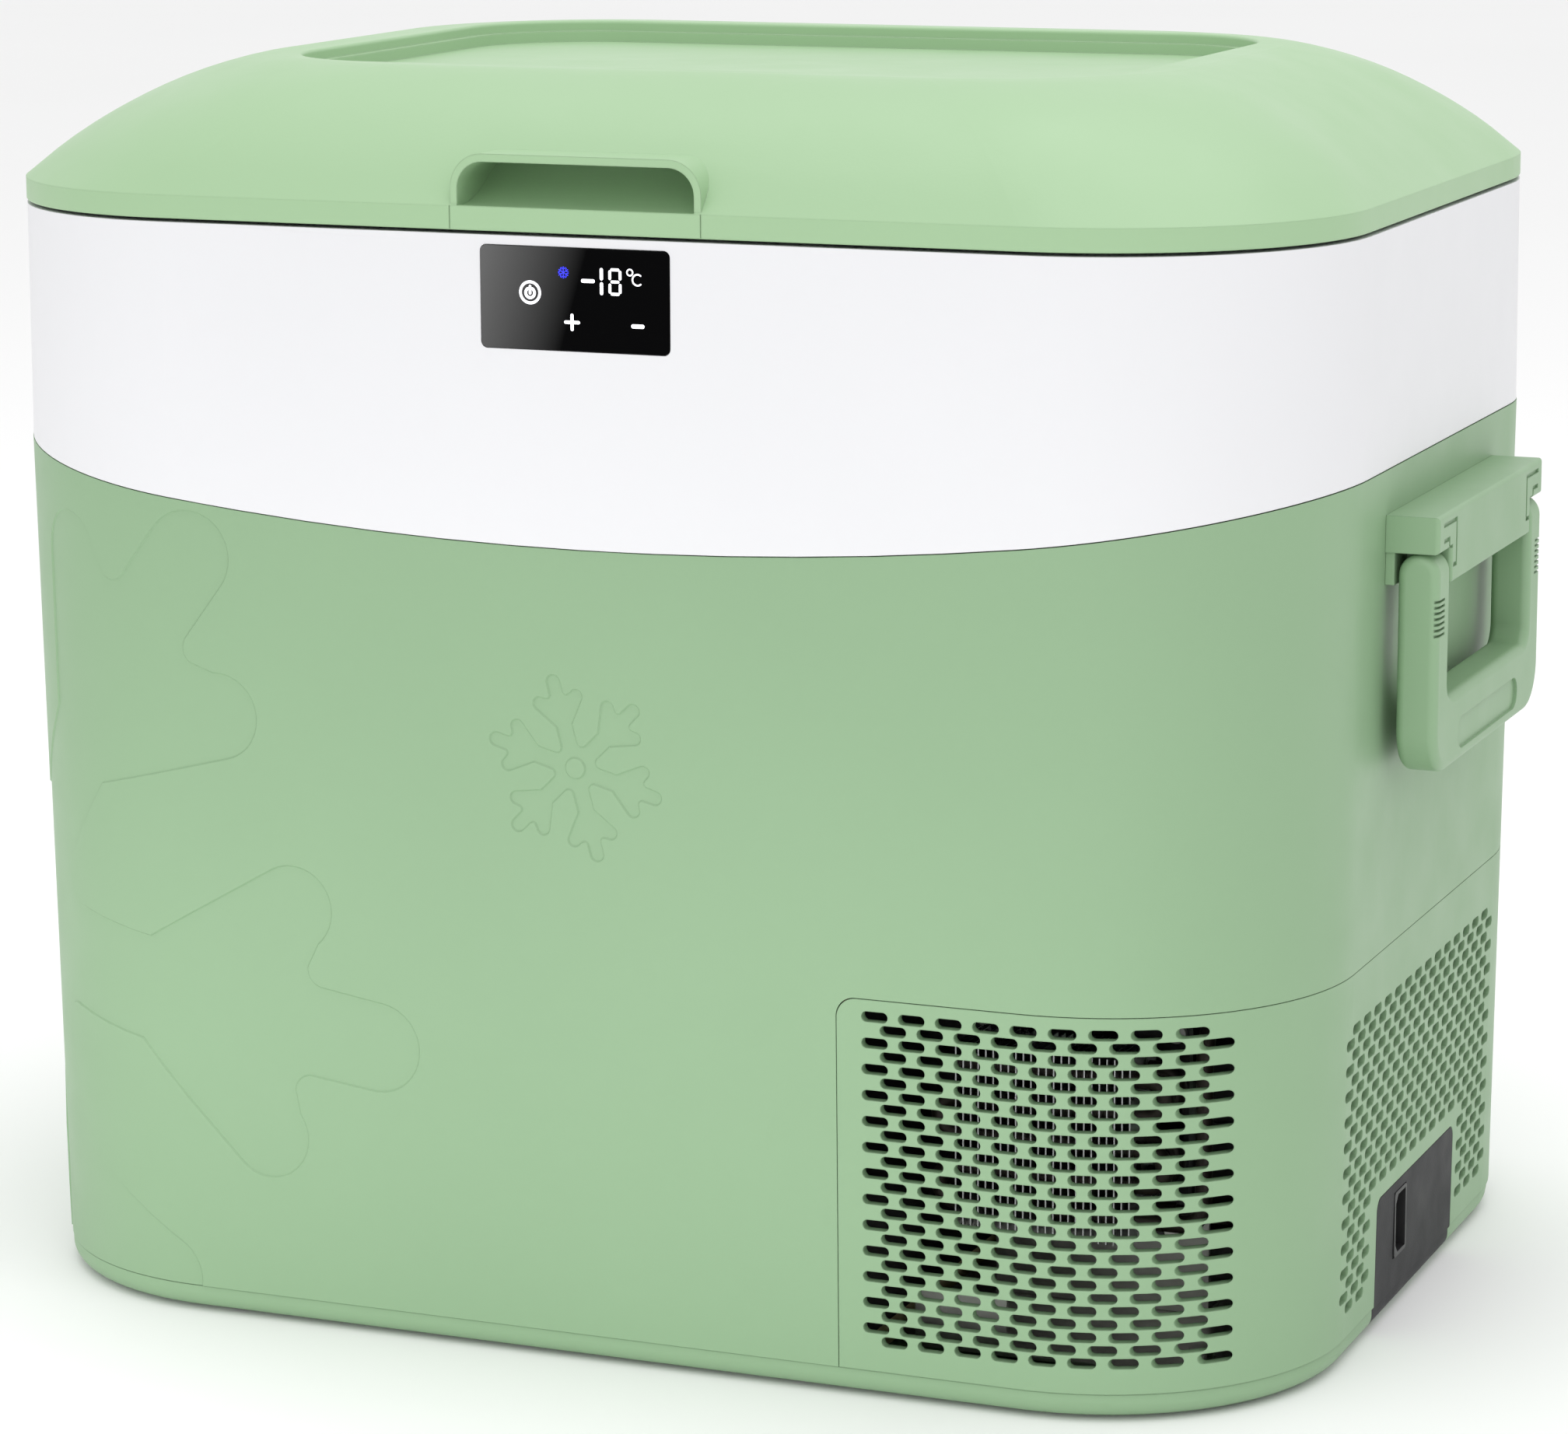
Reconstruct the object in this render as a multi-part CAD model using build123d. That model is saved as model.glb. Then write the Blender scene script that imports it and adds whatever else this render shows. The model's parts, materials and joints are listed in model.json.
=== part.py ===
from build123d import *
import os
from math import atan, degrees

# Compressor cooler fridge. Millimetres, +Z up, front at -Y. The shapes are drawn about the middle
# of the cabinet, then moved so that the origin is the centre of the whole footprint.

# ---- driving dimensions ----
HINGE_REACH = 5.95          # half of what the hinge barrels add to the depth
SEAM_Z = 400.0              # height of the joint between lid and cabinet
BASE_TOP_Z = 10.0           # top of the base tray, where the shell stands
FOOT_GAP = 1.2              # the rubber feet lift the tray this far
WALL = 3.0                  # moulded wall of shell, band and lid
GAP = 0.3                   # witness gap between mouldings

HALF_X_LOW, HALF_Y_LOW = 248.7, 186.3       # outline at BASE_TOP_Z
WIDENING = 3.8                              # how far each side leans out up to BAND_LOW_Z
BAND_LOW_Z = 316.5
CORNER_R = 90.0
BAND_HALF_X, BAND_HALF_Y = 251.7, 189.3     # outline at the seam
BAND_NARROWING = 0.8                        # the band closes by this much up to the seam
SMILE_R = 1330.0                            # radius of the curved lower edge of the band
SMILE_Z = 292.5                             # lowest point of that edge

BAY_X, BAY_Z = 93.5, 143.5                  # left and top edges of the compressor bay opening
BAY_CORNER_R = 7.0
DIVIDER = 2.5
DIVIDER_X, DIVIDER_Z = 97.0, 144.5

SLOT_W, SLOT_H = 9.6, 3.7
SLOT_PITCH_X, SLOT_PITCH_Z = 13.4, 9.28
SLOT_PITCH_Y = 13.57
SLOT_X0, SLOT_Z0 = 107.7, 137.3
SLOT_SHIFT_X, SLOT_SHIFT_Z = 6.7, 4.6
BACK_SLOTS_X = 158.0                        # the slots at the back stop before the corner

TUB_HALF_X, TUB_HALF_Y, TUB_R = 215.0, 150.0, 40.0
TUB_STEP_X, TUB_STEP_Z = 70.0, 180.0        # the tub steps up over the compressor bay
TUB_FLOOR_Z = 47.5
TUB_WALL = 2.5
FLANGE_T = 3.0
FLANGE_SPLIT = 17.0                         # width of the tub's own flange

LID_BOTTOM_Z = 400.6
LID_CREASE_Z = 408.8
LID_TOP_Z = 450.8
TRAY_HALF_X, TRAY_HALF_Y, TRAY_R = 160.0, 113.0, 48.0
TRAY_STEP, TRAY_DEPTH = 4.0, 8.2

TRAY_LIP_R = 1.2
WITNESS = 0.35                              # width and depth of the parting lines in the lid's rim

GRIP_HALF, GRIP_TOP_Z, GRIP_CORNER_R = 46.5, 426.8, 12.0
GRIP_WALL, GRIP_ROOF = 2.6, 2.8

HINGE_Y, HINGE_Z, HINGE_X = 197.0, 402.0, 130.0
HINGE_PIN_R, HINGE_BARREL_R = 2.5, 5.0
RUNNING = 0.06                              # radial clearance of turning fits

HANDLE_HALF_Y = 73.0
HANDLE_TOP_Z, HANDLE_BAR_Z, HANDLE_BLOCK_Z = 301.0, 288.0, 275.5
HANDLE_OUT_X, BAIL_IN_X = 271.4, 256.6
PIVOT_X, PIVOT_Z, PIVOT_R = 264.0, 280.2, 2.5
BAIL_ARM, BAIL_BOTTOM_Z, BAIL_OPEN_Z = 16.5, 209.0, 235.0
BAIL_ROUND = 3.2
BLOCK_HALF_Y = 55.8

PLATE_Y0, PLATE_Y1, PLATE_Z = -56.0, 49.0, 50.0
SOCKET_Y, SOCKET_Z = -24.5, 33.8
SOCKET_W, SOCKET_H, SOCKET_DEEP = 13.0, 21.8, 16.0
PIN_PITCH = 10.3

DISPLAY_HALF_X, DISPLAY_Z0, DISPLAY_Z1 = 35.0, 361.0, 396.0

FAN_X, FAN_Y, FAN_Z, FAN_SIZE, FAN_DEEP = 159.0, -121.0, 88.0, 80.0, 25.0
COMP_X, COMP_Y, COMP_R = 163.0, 20.0, 52.0
PLATFORM_Z, PLATFORM_T = 12.0, 1.5


def slab(half_x, half_y, radius, low, high):
    """Upright plate with a rounded rectangular plan, centred on the origin."""
    plan = RectangleRounded(2 * half_x, 2 * half_y, radius)
    return extrude(Pos(0, 0, low) * plan, amount=high - low)


def block(x0, x1, y0, y1, z0, z1):
    """Plain box given by its limits."""
    middle = ((x0 + x1) / 2, (y0 + y1) / 2, (z0 + z1) / 2)
    return Pos(*middle) * Box(x1 - x0, y1 - y0, z1 - z0)


def rod(start, end, radius):
    """Round bar from one point to another."""
    start, end = Vector(*start), Vector(*end)
    along = end - start
    return extrude(Plane(start, z_dir=along) * Circle(radius), amount=along.length)


def upright(x, y, low, high, radius):
    """Upright round bar between two heights."""
    return rod((x, y, low), (x, y, high), radius)


def tube(points, radii, radius):
    """Bent tube or wire along straight runs joined by tangent arcs."""
    path = FilletPolyline(*points, radius=radii)
    section = Plane(path @ 0, z_dir=path % 0) * Circle(radius)
    return sweep(section, path=path)


def save(name, shape):
    """Write one sub-part, or a group of equal separate solids, to its own file."""
    solids = shape.solids()
    body = solids[0] if len(solids) == 1 else Compound(children=list(solids))
    body = Pos(0, -HINGE_REACH, 0) * body
    body.label = name
    export_step(body, os.path.join("parts", name + ".step"), write_pcurves=name != "vent_cover")


def side_offset(z):
    """How far the lower walls have leaned out at height z."""
    return WIDENING * (z - BASE_TOP_Z) / (BAND_LOW_Z - BASE_TOP_Z)


def lower_form(offset, low, high):
    """Solid form of the leaning lower walls, offset outwards."""
    grow = side_offset(low) + offset
    lean = degrees(atan(WIDENING / (BAND_LOW_Z - BASE_TOP_Z)))
    plan = RectangleRounded(2 * (HALF_X_LOW + grow), 2 * (HALF_Y_LOW + grow), CORNER_R + grow)
    return extrude(Pos(0, 0, low) * plan, amount=high - low, taper=-lean)


def band_form(offset, low, high):
    """Solid form of the band, which closes slightly towards the seam."""
    slope = BAND_NARROWING / (SEAM_Z - SMILE_Z)
    grow = slope * (SEAM_Z - low) + offset
    radius = CORNER_R + WIDENING - BAND_NARROWING + grow
    plan = RectangleRounded(2 * (BAND_HALF_X + grow), 2 * (BAND_HALF_Y + grow), radius)
    return extrude(Pos(0, 0, low) * plan, amount=high - low, taper=degrees(atan(slope)))


def smile(radius):
    """Round form whose underside is the curved edge between shell and band."""
    centre = Plane((0, 500, SMILE_Z + SMILE_R), z_dir=(0, -1, 0))
    return extrude(centre * Circle(radius), amount=1000)


def bay_form(gap):
    """Prism of the compressor bay opening, with its rounded top corner at the front and back."""
    left, top = BAY_X + gap, BAY_Z - gap
    wide, tall = 200.0, top - BASE_TOP_Z + 20
    outline = Pos(left + wide / 2, top - tall / 2) * Rectangle(wide, tall)
    corner = outline.vertices().sort_by(Axis.X)[:2].sort_by(Axis.Y)[-1]
    outline = fillet(corner, BAY_CORNER_R)
    front = Plane((0, 300, 0), x_dir=(1, 0, 0), z_dir=(0, -1, 0))
    return extrude(front * outline, amount=600)


def tray_form(offset, low, high):
    """Solid form of the base tray under the shell."""
    half_x, half_y = HALF_X_LOW - 0.8 + offset, HALF_Y_LOW - 0.8 + offset
    return slab(half_x, half_y, CORNER_R - 0.8 + offset, low, high)


def plate_form(gap):
    """Prism of the socket plate: its top corners are rounded and it reaches the base."""
    low = FOOT_GAP - 3
    wide, tall = PLATE_Y1 - PLATE_Y0 - 2 * gap, PLATE_Z - gap - low
    outline = Pos((PLATE_Y0 + PLATE_Y1) / 2, low + tall / 2) * Rectangle(wide, tall)
    outline = fillet(outline.vertices().sort_by(Axis.Y)[-2:], 5.0)
    side = Plane((200, 0, 0), x_dir=(0, 1, 0), z_dir=(1, 0, 0))
    return extrude(side * outline, amount=100)


def slot_tool(length, width, height):
    """Prism with round ends that cuts one vent slot, pointing along +Z of its own plane."""
    return extrude(SlotOverall(width, height), amount=length)


def front_slots():
    """Places of the vent slots on the front, as x, z pairs."""
    spots = []
    for row in range(13):
        z = SLOT_Z0 - row * SLOT_PITCH_Z
        for column in range(9):
            x = SLOT_X0 + column * SLOT_PITCH_X
            spots.append((x, z))
            spots.append((x + SLOT_SHIFT_X, z - SLOT_SHIFT_Z))
    return spots


def side_slots():
    """Places of the vent slots on the side, as y, z pairs, with room left for the socket plate."""
    spots = []
    for row in range(12):
        z = 122.8 - row * SLOT_PITCH_Z * 0.993
        for column in range(15):
            y = -97.1 + column * SLOT_PITCH_Y
            if column < 14:
                spots.append((y + SLOT_PITCH_Y / 2, z))
            if row < 11:
                spots.append((y, z - 4.5))
    clear = 5 + SLOT_W / 2
    return [
        (y, z) for y, z in spots
        if z > PLATE_Z + 4.5 or not PLATE_Y0 - clear < y < PLATE_Y1 + clear
    ]


def make_base_tray():
    tray = tray_form(0, FOOT_GAP, BASE_TOP_Z)
    tray = fillet(tray.faces().sort_by(Axis.Z)[0].edges(), 6.0)
    tray -= tray_form(-WALL, FOOT_GAP + WALL, BASE_TOP_Z + 1)
    rim = lower_form(-WALL - 0.9, 4.0, 17.0) - lower_form(-WALL - 3.4, 3.0, 18.0)
    tray += rim
    for x, y in foot_spots():
        tray += upright(x, y, FOOT_GAP + 2, FOOT_GAP + 9, 14)
        tray -= upright(x, y, 0, 3.4, 11.2)
    for x, y in platform_spots():
        tray += upright(x, y, FOOT_GAP + 1, PLATFORM_Z, 8)
        tray -= upright(x, y, 5.5, PLATFORM_Z + 1, 2.1)
    for x, y in base_screw_spots():
        tray -= upright(x, y, 0, 30, 2.1) + upright(x, y, 0, 3.3, 3.8)
    tray -= plate_form(-GAP) & (tray_form(10, 0, 60) - tray_form(-2.8, -1, 61))
    return tray


def foot_spots():
    return [(x, y) for x in (-185, 185) for y in (-120, 120)]


def platform_spots():
    return [(x, y) for x in (116, 210) for y in (-138, 128)]


def base_screw_spots():
    return [(x, y) for x in (-145, -30, 75) for y in (-176, 176)]


def make_feet():
    feet = Part()
    for x, y in foot_spots():
        foot = upright(x, y, 0, 3.2, 11)
        feet += chamfer(foot.edges().sort_by(Axis.Z)[0], 0.5)
    return feet


def make_base_screws():
    screws = Part()
    for x, y in base_screw_spots():
        screws += upright(x, y, 1.5, 34, 1.95) + upright(x, y, 1.5, 3.2, 3.6)
    return screws


def make_lower_shell():
    shell = lower_form(0, BASE_TOP_Z + GAP, 330) - lower_form(-WALL, 5, 335)
    shell -= smile(SMILE_R + 0.2)
    shell -= bay_form(0)
    for x, y in base_screw_spots():
        near, far = sorted((y, y * 1.05))
        boss = upright(x, y, 17.6, 46, 5) + block(x - 3, x + 3, near, far, 17.6, 46)
        shell += boss - upright(x, y, 10, 36, 2.0)
    for side in (-1, 1):
        for y, z in bracket_screw_spots():
            shell -= rod((side * 240, y, z), (side * 260, y, z), 2.1)
    return shell


def make_upper_band():
    outside = band_form(0, 285, SEAM_Z - 0.6)
    band = outside - band_form(-WALL, 280, SEAM_Z - 0.6 - FLANGE_T)
    band -= slab(*flange_split(GAP), 380, 410)
    band &= smile(SMILE_R - 0.2)
    band -= display_pocket()
    for side in (-1, 1):
        for x in (-20, 20):
            x_screw = side * HINGE_X + x
            band -= rod((x_screw, 180, 378), (x_screw, 200, 378), 1.7)
    return band


def flange_split(gap):
    """Plan of the line where the tub's flange meets the band's flange."""
    grow = FLANGE_SPLIT + gap
    return TUB_HALF_X + grow, TUB_HALF_Y + grow, TUB_R + grow


def display_pocket():
    """Window for the display, with a ledge that the glass sits on."""
    front = Plane((0, -150, (DISPLAY_Z0 + DISPLAY_Z1) / 2), x_dir=(1, 0, 0), z_dir=(0, -1, 0))
    tall = DISPLAY_Z1 - DISPLAY_Z0
    rebate = front * RectangleRounded(2 * DISPLAY_HALF_X + 0.5, tall + 0.5, 2.4)
    window = front * RectangleRounded(2 * DISPLAY_HALF_X - 5, tall - 6, 1.5)
    glass_back = BAND_HALF_Y - 1.5
    return extrude(window, amount=60) + (extrude(rebate, amount=60) - block(-50, 50, -glass_back, 0, 350, 400))


def make_display_glass():
    middle = (DISPLAY_Z0 + DISPLAY_Z1) / 2
    front = Plane((0, -BAND_HALF_Y + 1.4, middle), x_dir=(1, 0, 0), z_dir=(0, -1, 0))
    glass = extrude(front * RectangleRounded(2 * DISPLAY_HALF_X, DISPLAY_Z1 - DISPLAY_Z0, 2.2), amount=1.9)
    return chamfer(glass.faces().sort_by(Axis.Y)[0].edges(), 0.25)


def make_control_board():
    back = -BAND_HALF_Y + 1.5
    board = block(-31, 31, back + 5.5, back + 7.1, 365, 393)
    parts = [
        block(2, 26, back + 1.4, back + 5.5, 380, 391),
        block(-21, -13, back + 2.0, back + 5.5, 376, 384),
        block(-4, 2, back + 2.0, back + 5.5, 367, 373),
        block(20, 26, back + 2.0, back + 5.5, 367, 373),
        block(-26, -12, back + 7.1, back + 10.5, 368, 374),
        block(0, 10, back + 7.1, back + 9.1, 375, 385),
    ]
    for piece in parts:
        board += piece
    return board


def make_vent_cover():
    ring = lower_form(0, BASE_TOP_Z + GAP, 160) - lower_form(-3.6, 5, 165)
    cover = ring & bay_form(GAP)
    front = Plane((0, 0, 0), x_dir=(1, 0, 0), z_dir=(0, -1, 0))
    tools = [
        front * Pos(x, z, 100) * slot_tool(120, SLOT_W, SLOT_H)
        for x, z in front_slots()
    ]
    back = Plane((0, 0, 0), x_dir=(1, 0, 0), z_dir=(0, 1, 0))
    tools += [
        Pos(x, 100, z) * Rot(-90, 0, 0) * slot_tool(120, SLOT_W, SLOT_H)
        for x, z in front_slots() if x < BACK_SLOTS_X
    ]
    side = Plane((0, 0, 0), x_dir=(0, 1, 0), z_dir=(1, 0, 0))
    tools += [
        side * Pos(y, z, 235) * slot_tool(30, SLOT_W, SLOT_H)
        for y, z in side_slots()
    ]
    cover = cover.cut(*[tool.solid() for tool in tools])
    return cover - (plate_form(-GAP) & (lower_form(10, 5, 60) - lower_form(-8, 4, 61)))


def make_socket_plate():
    low = tray_form(0, FOOT_GAP, BASE_TOP_Z + 0.1)
    low = fillet(low.faces().sort_by(Axis.Z)[0].edges(), 6.0)
    outside = low + lower_form(0, BASE_TOP_Z, 60)
    inside = tray_form(-2.5, -1, BASE_TOP_Z) + lower_form(-3.5, BASE_TOP_Z, 61)
    plate = (outside - inside) & plate_form(0)
    plate -= block(200, 260, *socket_span(SOCKET_W, 1.6), *socket_rise(SOCKET_H, 1.6))
    return plate


def socket_span(width, margin):
    return SOCKET_Y - width / 2 - margin, SOCKET_Y + width / 2 + margin


def socket_rise(height, margin):
    return SOCKET_Z - height / 2 - margin, SOCKET_Z + height / 2 + margin


def make_dc_socket():
    face = HALF_X_LOW + side_offset(SOCKET_Z)
    outer = block(face - SOCKET_DEEP - 4, face + 0.4, *socket_span(SOCKET_W, 1.4), *socket_rise(SOCKET_H, 1.4))
    edges = outer.edges().filter_by(Axis.X)
    outer = fillet(edges, 1.6)
    flange = block(face - 6.0, face - 4.2, *socket_span(SOCKET_W, 5), *socket_rise(SOCKET_H, 5))
    cavity = block(face - SOCKET_DEEP, face + 5, *socket_span(SOCKET_W, 0), *socket_rise(SOCKET_H, 0))
    cavity = chamfer(cavity.edges().filter_by(Axis.X).sort_by(Axis.Y)[:2], 3.0)
    socket = outer + flange - cavity
    rib = block(face - SOCKET_DEEP - 1, face - 5, SOCKET_Y + 3.2, SOCKET_Y + SOCKET_W / 2 + 0.5,
                SOCKET_Z - 0.8, SOCKET_Z + 0.8)
    socket += rib
    for x, y, z in pin_spots():
        socket -= rod((face - SOCKET_DEEP - 6, y, z), (face - 10, y, z), 1.2)
    return socket


def pin_spots():
    face = HALF_X_LOW + side_offset(SOCKET_Z)
    return [(face, SOCKET_Y, SOCKET_Z + side * PIN_PITCH / 2) for side in (-1, 1)]


def make_socket_pins():
    pins = Part()
    for face, y, z in pin_spots():
        pin = rod((face - SOCKET_DEEP - 8, y, z), (face - 4.0, y, z), 1.2)
        pins += chamfer(pin.edges().sort_by(Axis.X)[-1], 0.5)
    return pins


def tub_form(offset, floor, top):
    """Stepped tub: full plan above the step, shorter plan beside the compressor bay."""
    upper = slab(TUB_HALF_X + offset, TUB_HALF_Y + offset, TUB_R + offset, TUB_STEP_Z - offset, top)
    deep_x0, deep_x1 = -TUB_HALF_X - offset, TUB_STEP_X + offset
    plan = Rectangle(deep_x1 - deep_x0, 2 * (TUB_HALF_Y + offset))
    left = plan.vertices().sort_by(Axis.X)[:2]
    plan = fillet(left, TUB_R + offset)
    right = plan.vertices().sort_by(Axis.X)[-2:]
    plan = fillet(right, 22 + offset)
    low = floor - offset
    deep = extrude(Pos((deep_x0 + deep_x1) / 2, 0, low) * plan, amount=TUB_STEP_Z - low + 20)
    return upper + deep


def make_inner_liner():
    top = SEAM_Z - 0.6
    liner = tub_form(TUB_WALL, TUB_FLOOR_Z, top)
    liner += slab(*flange_split(0), top - FLANGE_T, top)
    hollow = tub_form(0, TUB_FLOOR_Z, top + 5)
    floors = hollow.edges().filter_by(lambda e: abs(e.center().Z - TUB_FLOOR_Z) < 0.01)
    hollow = fillet(floors, 10)
    liner -= hollow
    return liner - lamp_hole(0.1)


def lamp_hole(gap):
    return block(-22 - gap, 22 + gap, 148, 154, 352 - gap, 366 + gap)


def make_interior_lamp():
    lamp = block(-22, 22, 148.6, 152.4, 352, 366)
    return fillet(lamp.edges().filter_by(Axis.Z), 1.5)


def make_foam():
    foam = lower_form(-WALL - 0.9, 18, 300) + slab(248.0, 185.6, 88, 299, SEAM_Z - 4)
    foam += lower_form(-WALL - 3.8, 6.0, 20)
    foam -= tub_form(TUB_WALL + GAP, TUB_FLOOR_Z, SEAM_Z + 10)
    foam -= block(DIVIDER_X - GAP, 300, -250, 250, 0, DIVIDER_Z + DIVIDER + GAP)
    foam -= block(-36, 36, -200, -172, 358, 398)
    foam -= slab(*flange_split(1), SEAM_Z - 3.6 - GAP, SEAM_Z)
    for x, y in base_screw_spots():
        near, far = sorted((y - 5.4 if y > 0 else y + 5.4, y * 1.2))
        foam -= block(x - 5.4, x + 5.4, near, far, 0, 47)
    for x, y in foot_spots():
        foam -= upright(x, y, 0, FOOT_GAP + 10, 15)
    for side in (-1, 1):
        low, high = sorted((side * 245.5, side * 255))
        foam -= block(low, high, -50, 50, 275, 302)
        foam -= block(side * HINGE_X - 26, side * HINGE_X + 26, 180, 190, 372, 384)
    return foam


def make_bay_divider():
    inside = lower_form(-WALL - 1.0, 17.6, 200)
    wall = block(DIVIDER_X, DIVIDER_X + DIVIDER, -250, 250, 17.6, DIVIDER_Z + DIVIDER)
    roof = block(DIVIDER_X, 300, -250, 250, DIVIDER_Z, DIVIDER_Z + DIVIDER)
    divider = (wall + roof) & inside
    for x, y in ((118, -60), (190, 96), (108, -150)):
        divider -= upright(x, y, DIVIDER_Z - 5, DIVIDER_Z + 8, 5)
    return divider


def make_evaporator_coil():
    half_x, half_y = TUB_HALF_X + 7, TUB_HALF_Y + 7
    points, radii = [(190, 96, 120), (190, 96, 150), (half_x, 96, 170)], [8, 8]
    levels = [215 + 42 * turn for turn in range(4)]
    for level in levels:
        points.append((half_x, 70, level))
        radii.append(10)
        points.append((half_x, half_y, level))
        points.append((-half_x, half_y, level))
        points.append((-half_x, -half_y, level))
        points.append((half_x, -half_y, level))
        radii += [40, 40, 40, 40]
        points.append((half_x, 40, level))
        radii.append(10)
    points.pop()
    radii.pop()
    points.append((half_x, -40, levels[-1]))
    radii = radii[:len(points) - 2]
    return tube(points, radii, 3.0)


def make_compressor():
    profile = [(0, 24), (40, 24), (COMP_R, 34), (COMP_R, 92), (40, 112), (0, 119)]
    outline = Polyline(*[(r, z) for r, z in profile], (0, 24))
    face = make_face(Plane.XZ * outline)
    shell = revolve(face, Axis.Z)
    shell = fillet(shell.edges().filter_by(GeomType.CIRCLE), 5)
    shell = shell + Pos(0, 0, 63) * (Cylinder(COMP_R + 1.6, 4))
    feet = extrude(Pos(0, 0, 22) * RectangleRounded(120, 120, 14), amount=3)
    feet -= Pos(0, 0, 20) * Cylinder(36, 20)
    body = shell + feet
    body += block(-18, 18, 46, 66, 40, 78)
    for x, y in ((-20, -12), (14, -24)):
        body += upright(x, y, 100, 130, 4.2)
    for x, y in mount_spots():
        body -= Pos(x, y, 20) * Cylinder(6, 20)
    return Pos(COMP_X, COMP_Y, 0) * body


def mount_spots():
    return [(x, y) for x in (-50, 50) for y in (-50, 50)]


def make_compressor_mounts():
    low = PLATFORM_Z + PLATFORM_T
    mounts = Part()
    for x, y in mount_spots():
        centre = Pos(COMP_X + x, COMP_Y + y, 0)
        mount = upright(0, 0, low, 21.95, 9) + upright(0, 0, 21, 26, 5.9) + upright(0, 0, 25.05, 29, 8.5)
        mount -= upright(0, 0, 0, 60, 3.1)
        mounts += centre * mount
    return mounts


def make_compressor_bolts():
    bolts = Part()
    for x, y in mount_spots():
        bolt = upright(0, 0, PLATFORM_Z + 1.6, 30, 3)
        head = extrude(Pos(0, 0, 29.05) * RegularPolygon(5.5, 6), amount=4)
        bolts += Pos(COMP_X + x, COMP_Y + y, 0) * (bolt + head)
    return bolts


def make_platform():
    plate = extrude(Pos(170, 2.5, PLATFORM_Z) * RectangleRounded(134, 325, 12), amount=PLATFORM_T)
    plate &= lower_form(-9, 5, 60)
    plate += block(112, 146, -160, -158.5, PLATFORM_Z, 34)
    for x, y in platform_spots():
        plate -= upright(x, y, PLATFORM_Z - 5, PLATFORM_Z + 5, 2.4)
    return plate


def make_platform_screws():
    screws = Part()
    for x, y in platform_spots():
        top = PLATFORM_Z + PLATFORM_T
        screws += upright(x, y, 6, top + 1, 2.0) + upright(x, y, top + 0.05, top + 2.6, 4.5)
    return screws


CONDENSER_X0, CONDENSER_X1 = 126.0, 192.0
CONDENSER_Y0, CONDENSER_Y1 = -158.0, -130.0
CONDENSER_Z0, CONDENSER_Z1 = 56.0, 122.0


def condenser_rows():
    return [CONDENSER_Z0 + 8 + 12.5 * row for row in range(5)]


def make_condenser_fins():
    fins = []
    x = CONDENSER_X0
    while x < CONDENSER_X1:
        fin = block(x, x + 0.5, CONDENSER_Y0, CONDENSER_Y1, CONDENSER_Z0, CONDENSER_Z1)
        for z in condenser_rows():
            for y in (-151, -137):
                fin -= rod((x - 1, y, z), (x + 2, y, z), 3.25)
        fins.append(fin.solid())
        x += 2.75
    return Compound(children=fins)


def make_condenser_tube():
    rows = condenser_rows()
    left, right = CONDENSER_X0 - 8, CONDENSER_X1 + 8
    points = []
    for count, z in enumerate(rows):
        ends = (right, left) if count % 2 == 0 else (left, right)
        points += [(ends[0], -151, z), (ends[1], -151, z)]
    for count, z in enumerate(reversed(rows)):
        ends = (left, right) if count % 2 == 0 else (right, left)
        points += [(ends[0], -137, z), (ends[1], -137, z)]
    return tube(points, [6.1] * (len(points) - 2), 3.2)


def make_fan_frame():
    half = FAN_SIZE / 2
    frame = extrude(RectangleRounded(FAN_SIZE, FAN_SIZE, 5), amount=FAN_DEEP)
    frame -= upright(0, 0, -1, FAN_DEEP + 2, half - 1.8)
    frame -= Pos(0, 0, 4) * (
        extrude(RectangleRounded(FAN_SIZE + 2, FAN_SIZE + 2, 5), amount=FAN_DEEP - 8)
        - Cylinder(half, 60)
    )
    hub = upright(0, 0, FAN_DEEP - 3, FAN_DEEP, 16)
    for angle in (45, 135, 225, 315):
        hub += Pos(0, 0, FAN_DEEP - 3) * Rot(0, 0, angle) * Pos(27, 0, 1.5) * Box(28, 4, 3)
    frame += hub
    frame += upright(0, 0, 6, FAN_DEEP - 1, 1.5)
    frame += upright(0, 0, 10, FAN_DEEP - 2, 11)
    for x in (-35.5, 35.5):
        for y in (-35.5, 35.5):
            frame -= upright(x, y, -20, 50, 2.1)
    return fan_place() * frame


def fan_place():
    """The fan blows along +Y, away from the condenser."""
    return Pos(FAN_X, FAN_Y, FAN_Z) * Rot(-90, 0, 0)


def make_fan_rotor():
    cup = upright(0, 0, 2, FAN_DEEP - 4, 15)
    blades = []
    for count in range(7):
        blade = Pos(25.2, 0, 11.5) * Rot(38, 0, 0) * Box(22.5, 20, 1.4)
        blade &= Pos(0, 0, 0) * Cylinder(36.6, 60)
        blades.append(Rot(0, 0, count * 360 / 7) * blade)
    for blade in blades:
        cup += blade
    cup &= upright(0, 0, 2, FAN_DEEP - 4, 40)
    cup -= upright(0, 0, 9, 40, 12.2)
    cup -= upright(0, 0, 5.5, 40, 1.5 + RUNNING)
    return fan_place() * cup


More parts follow.
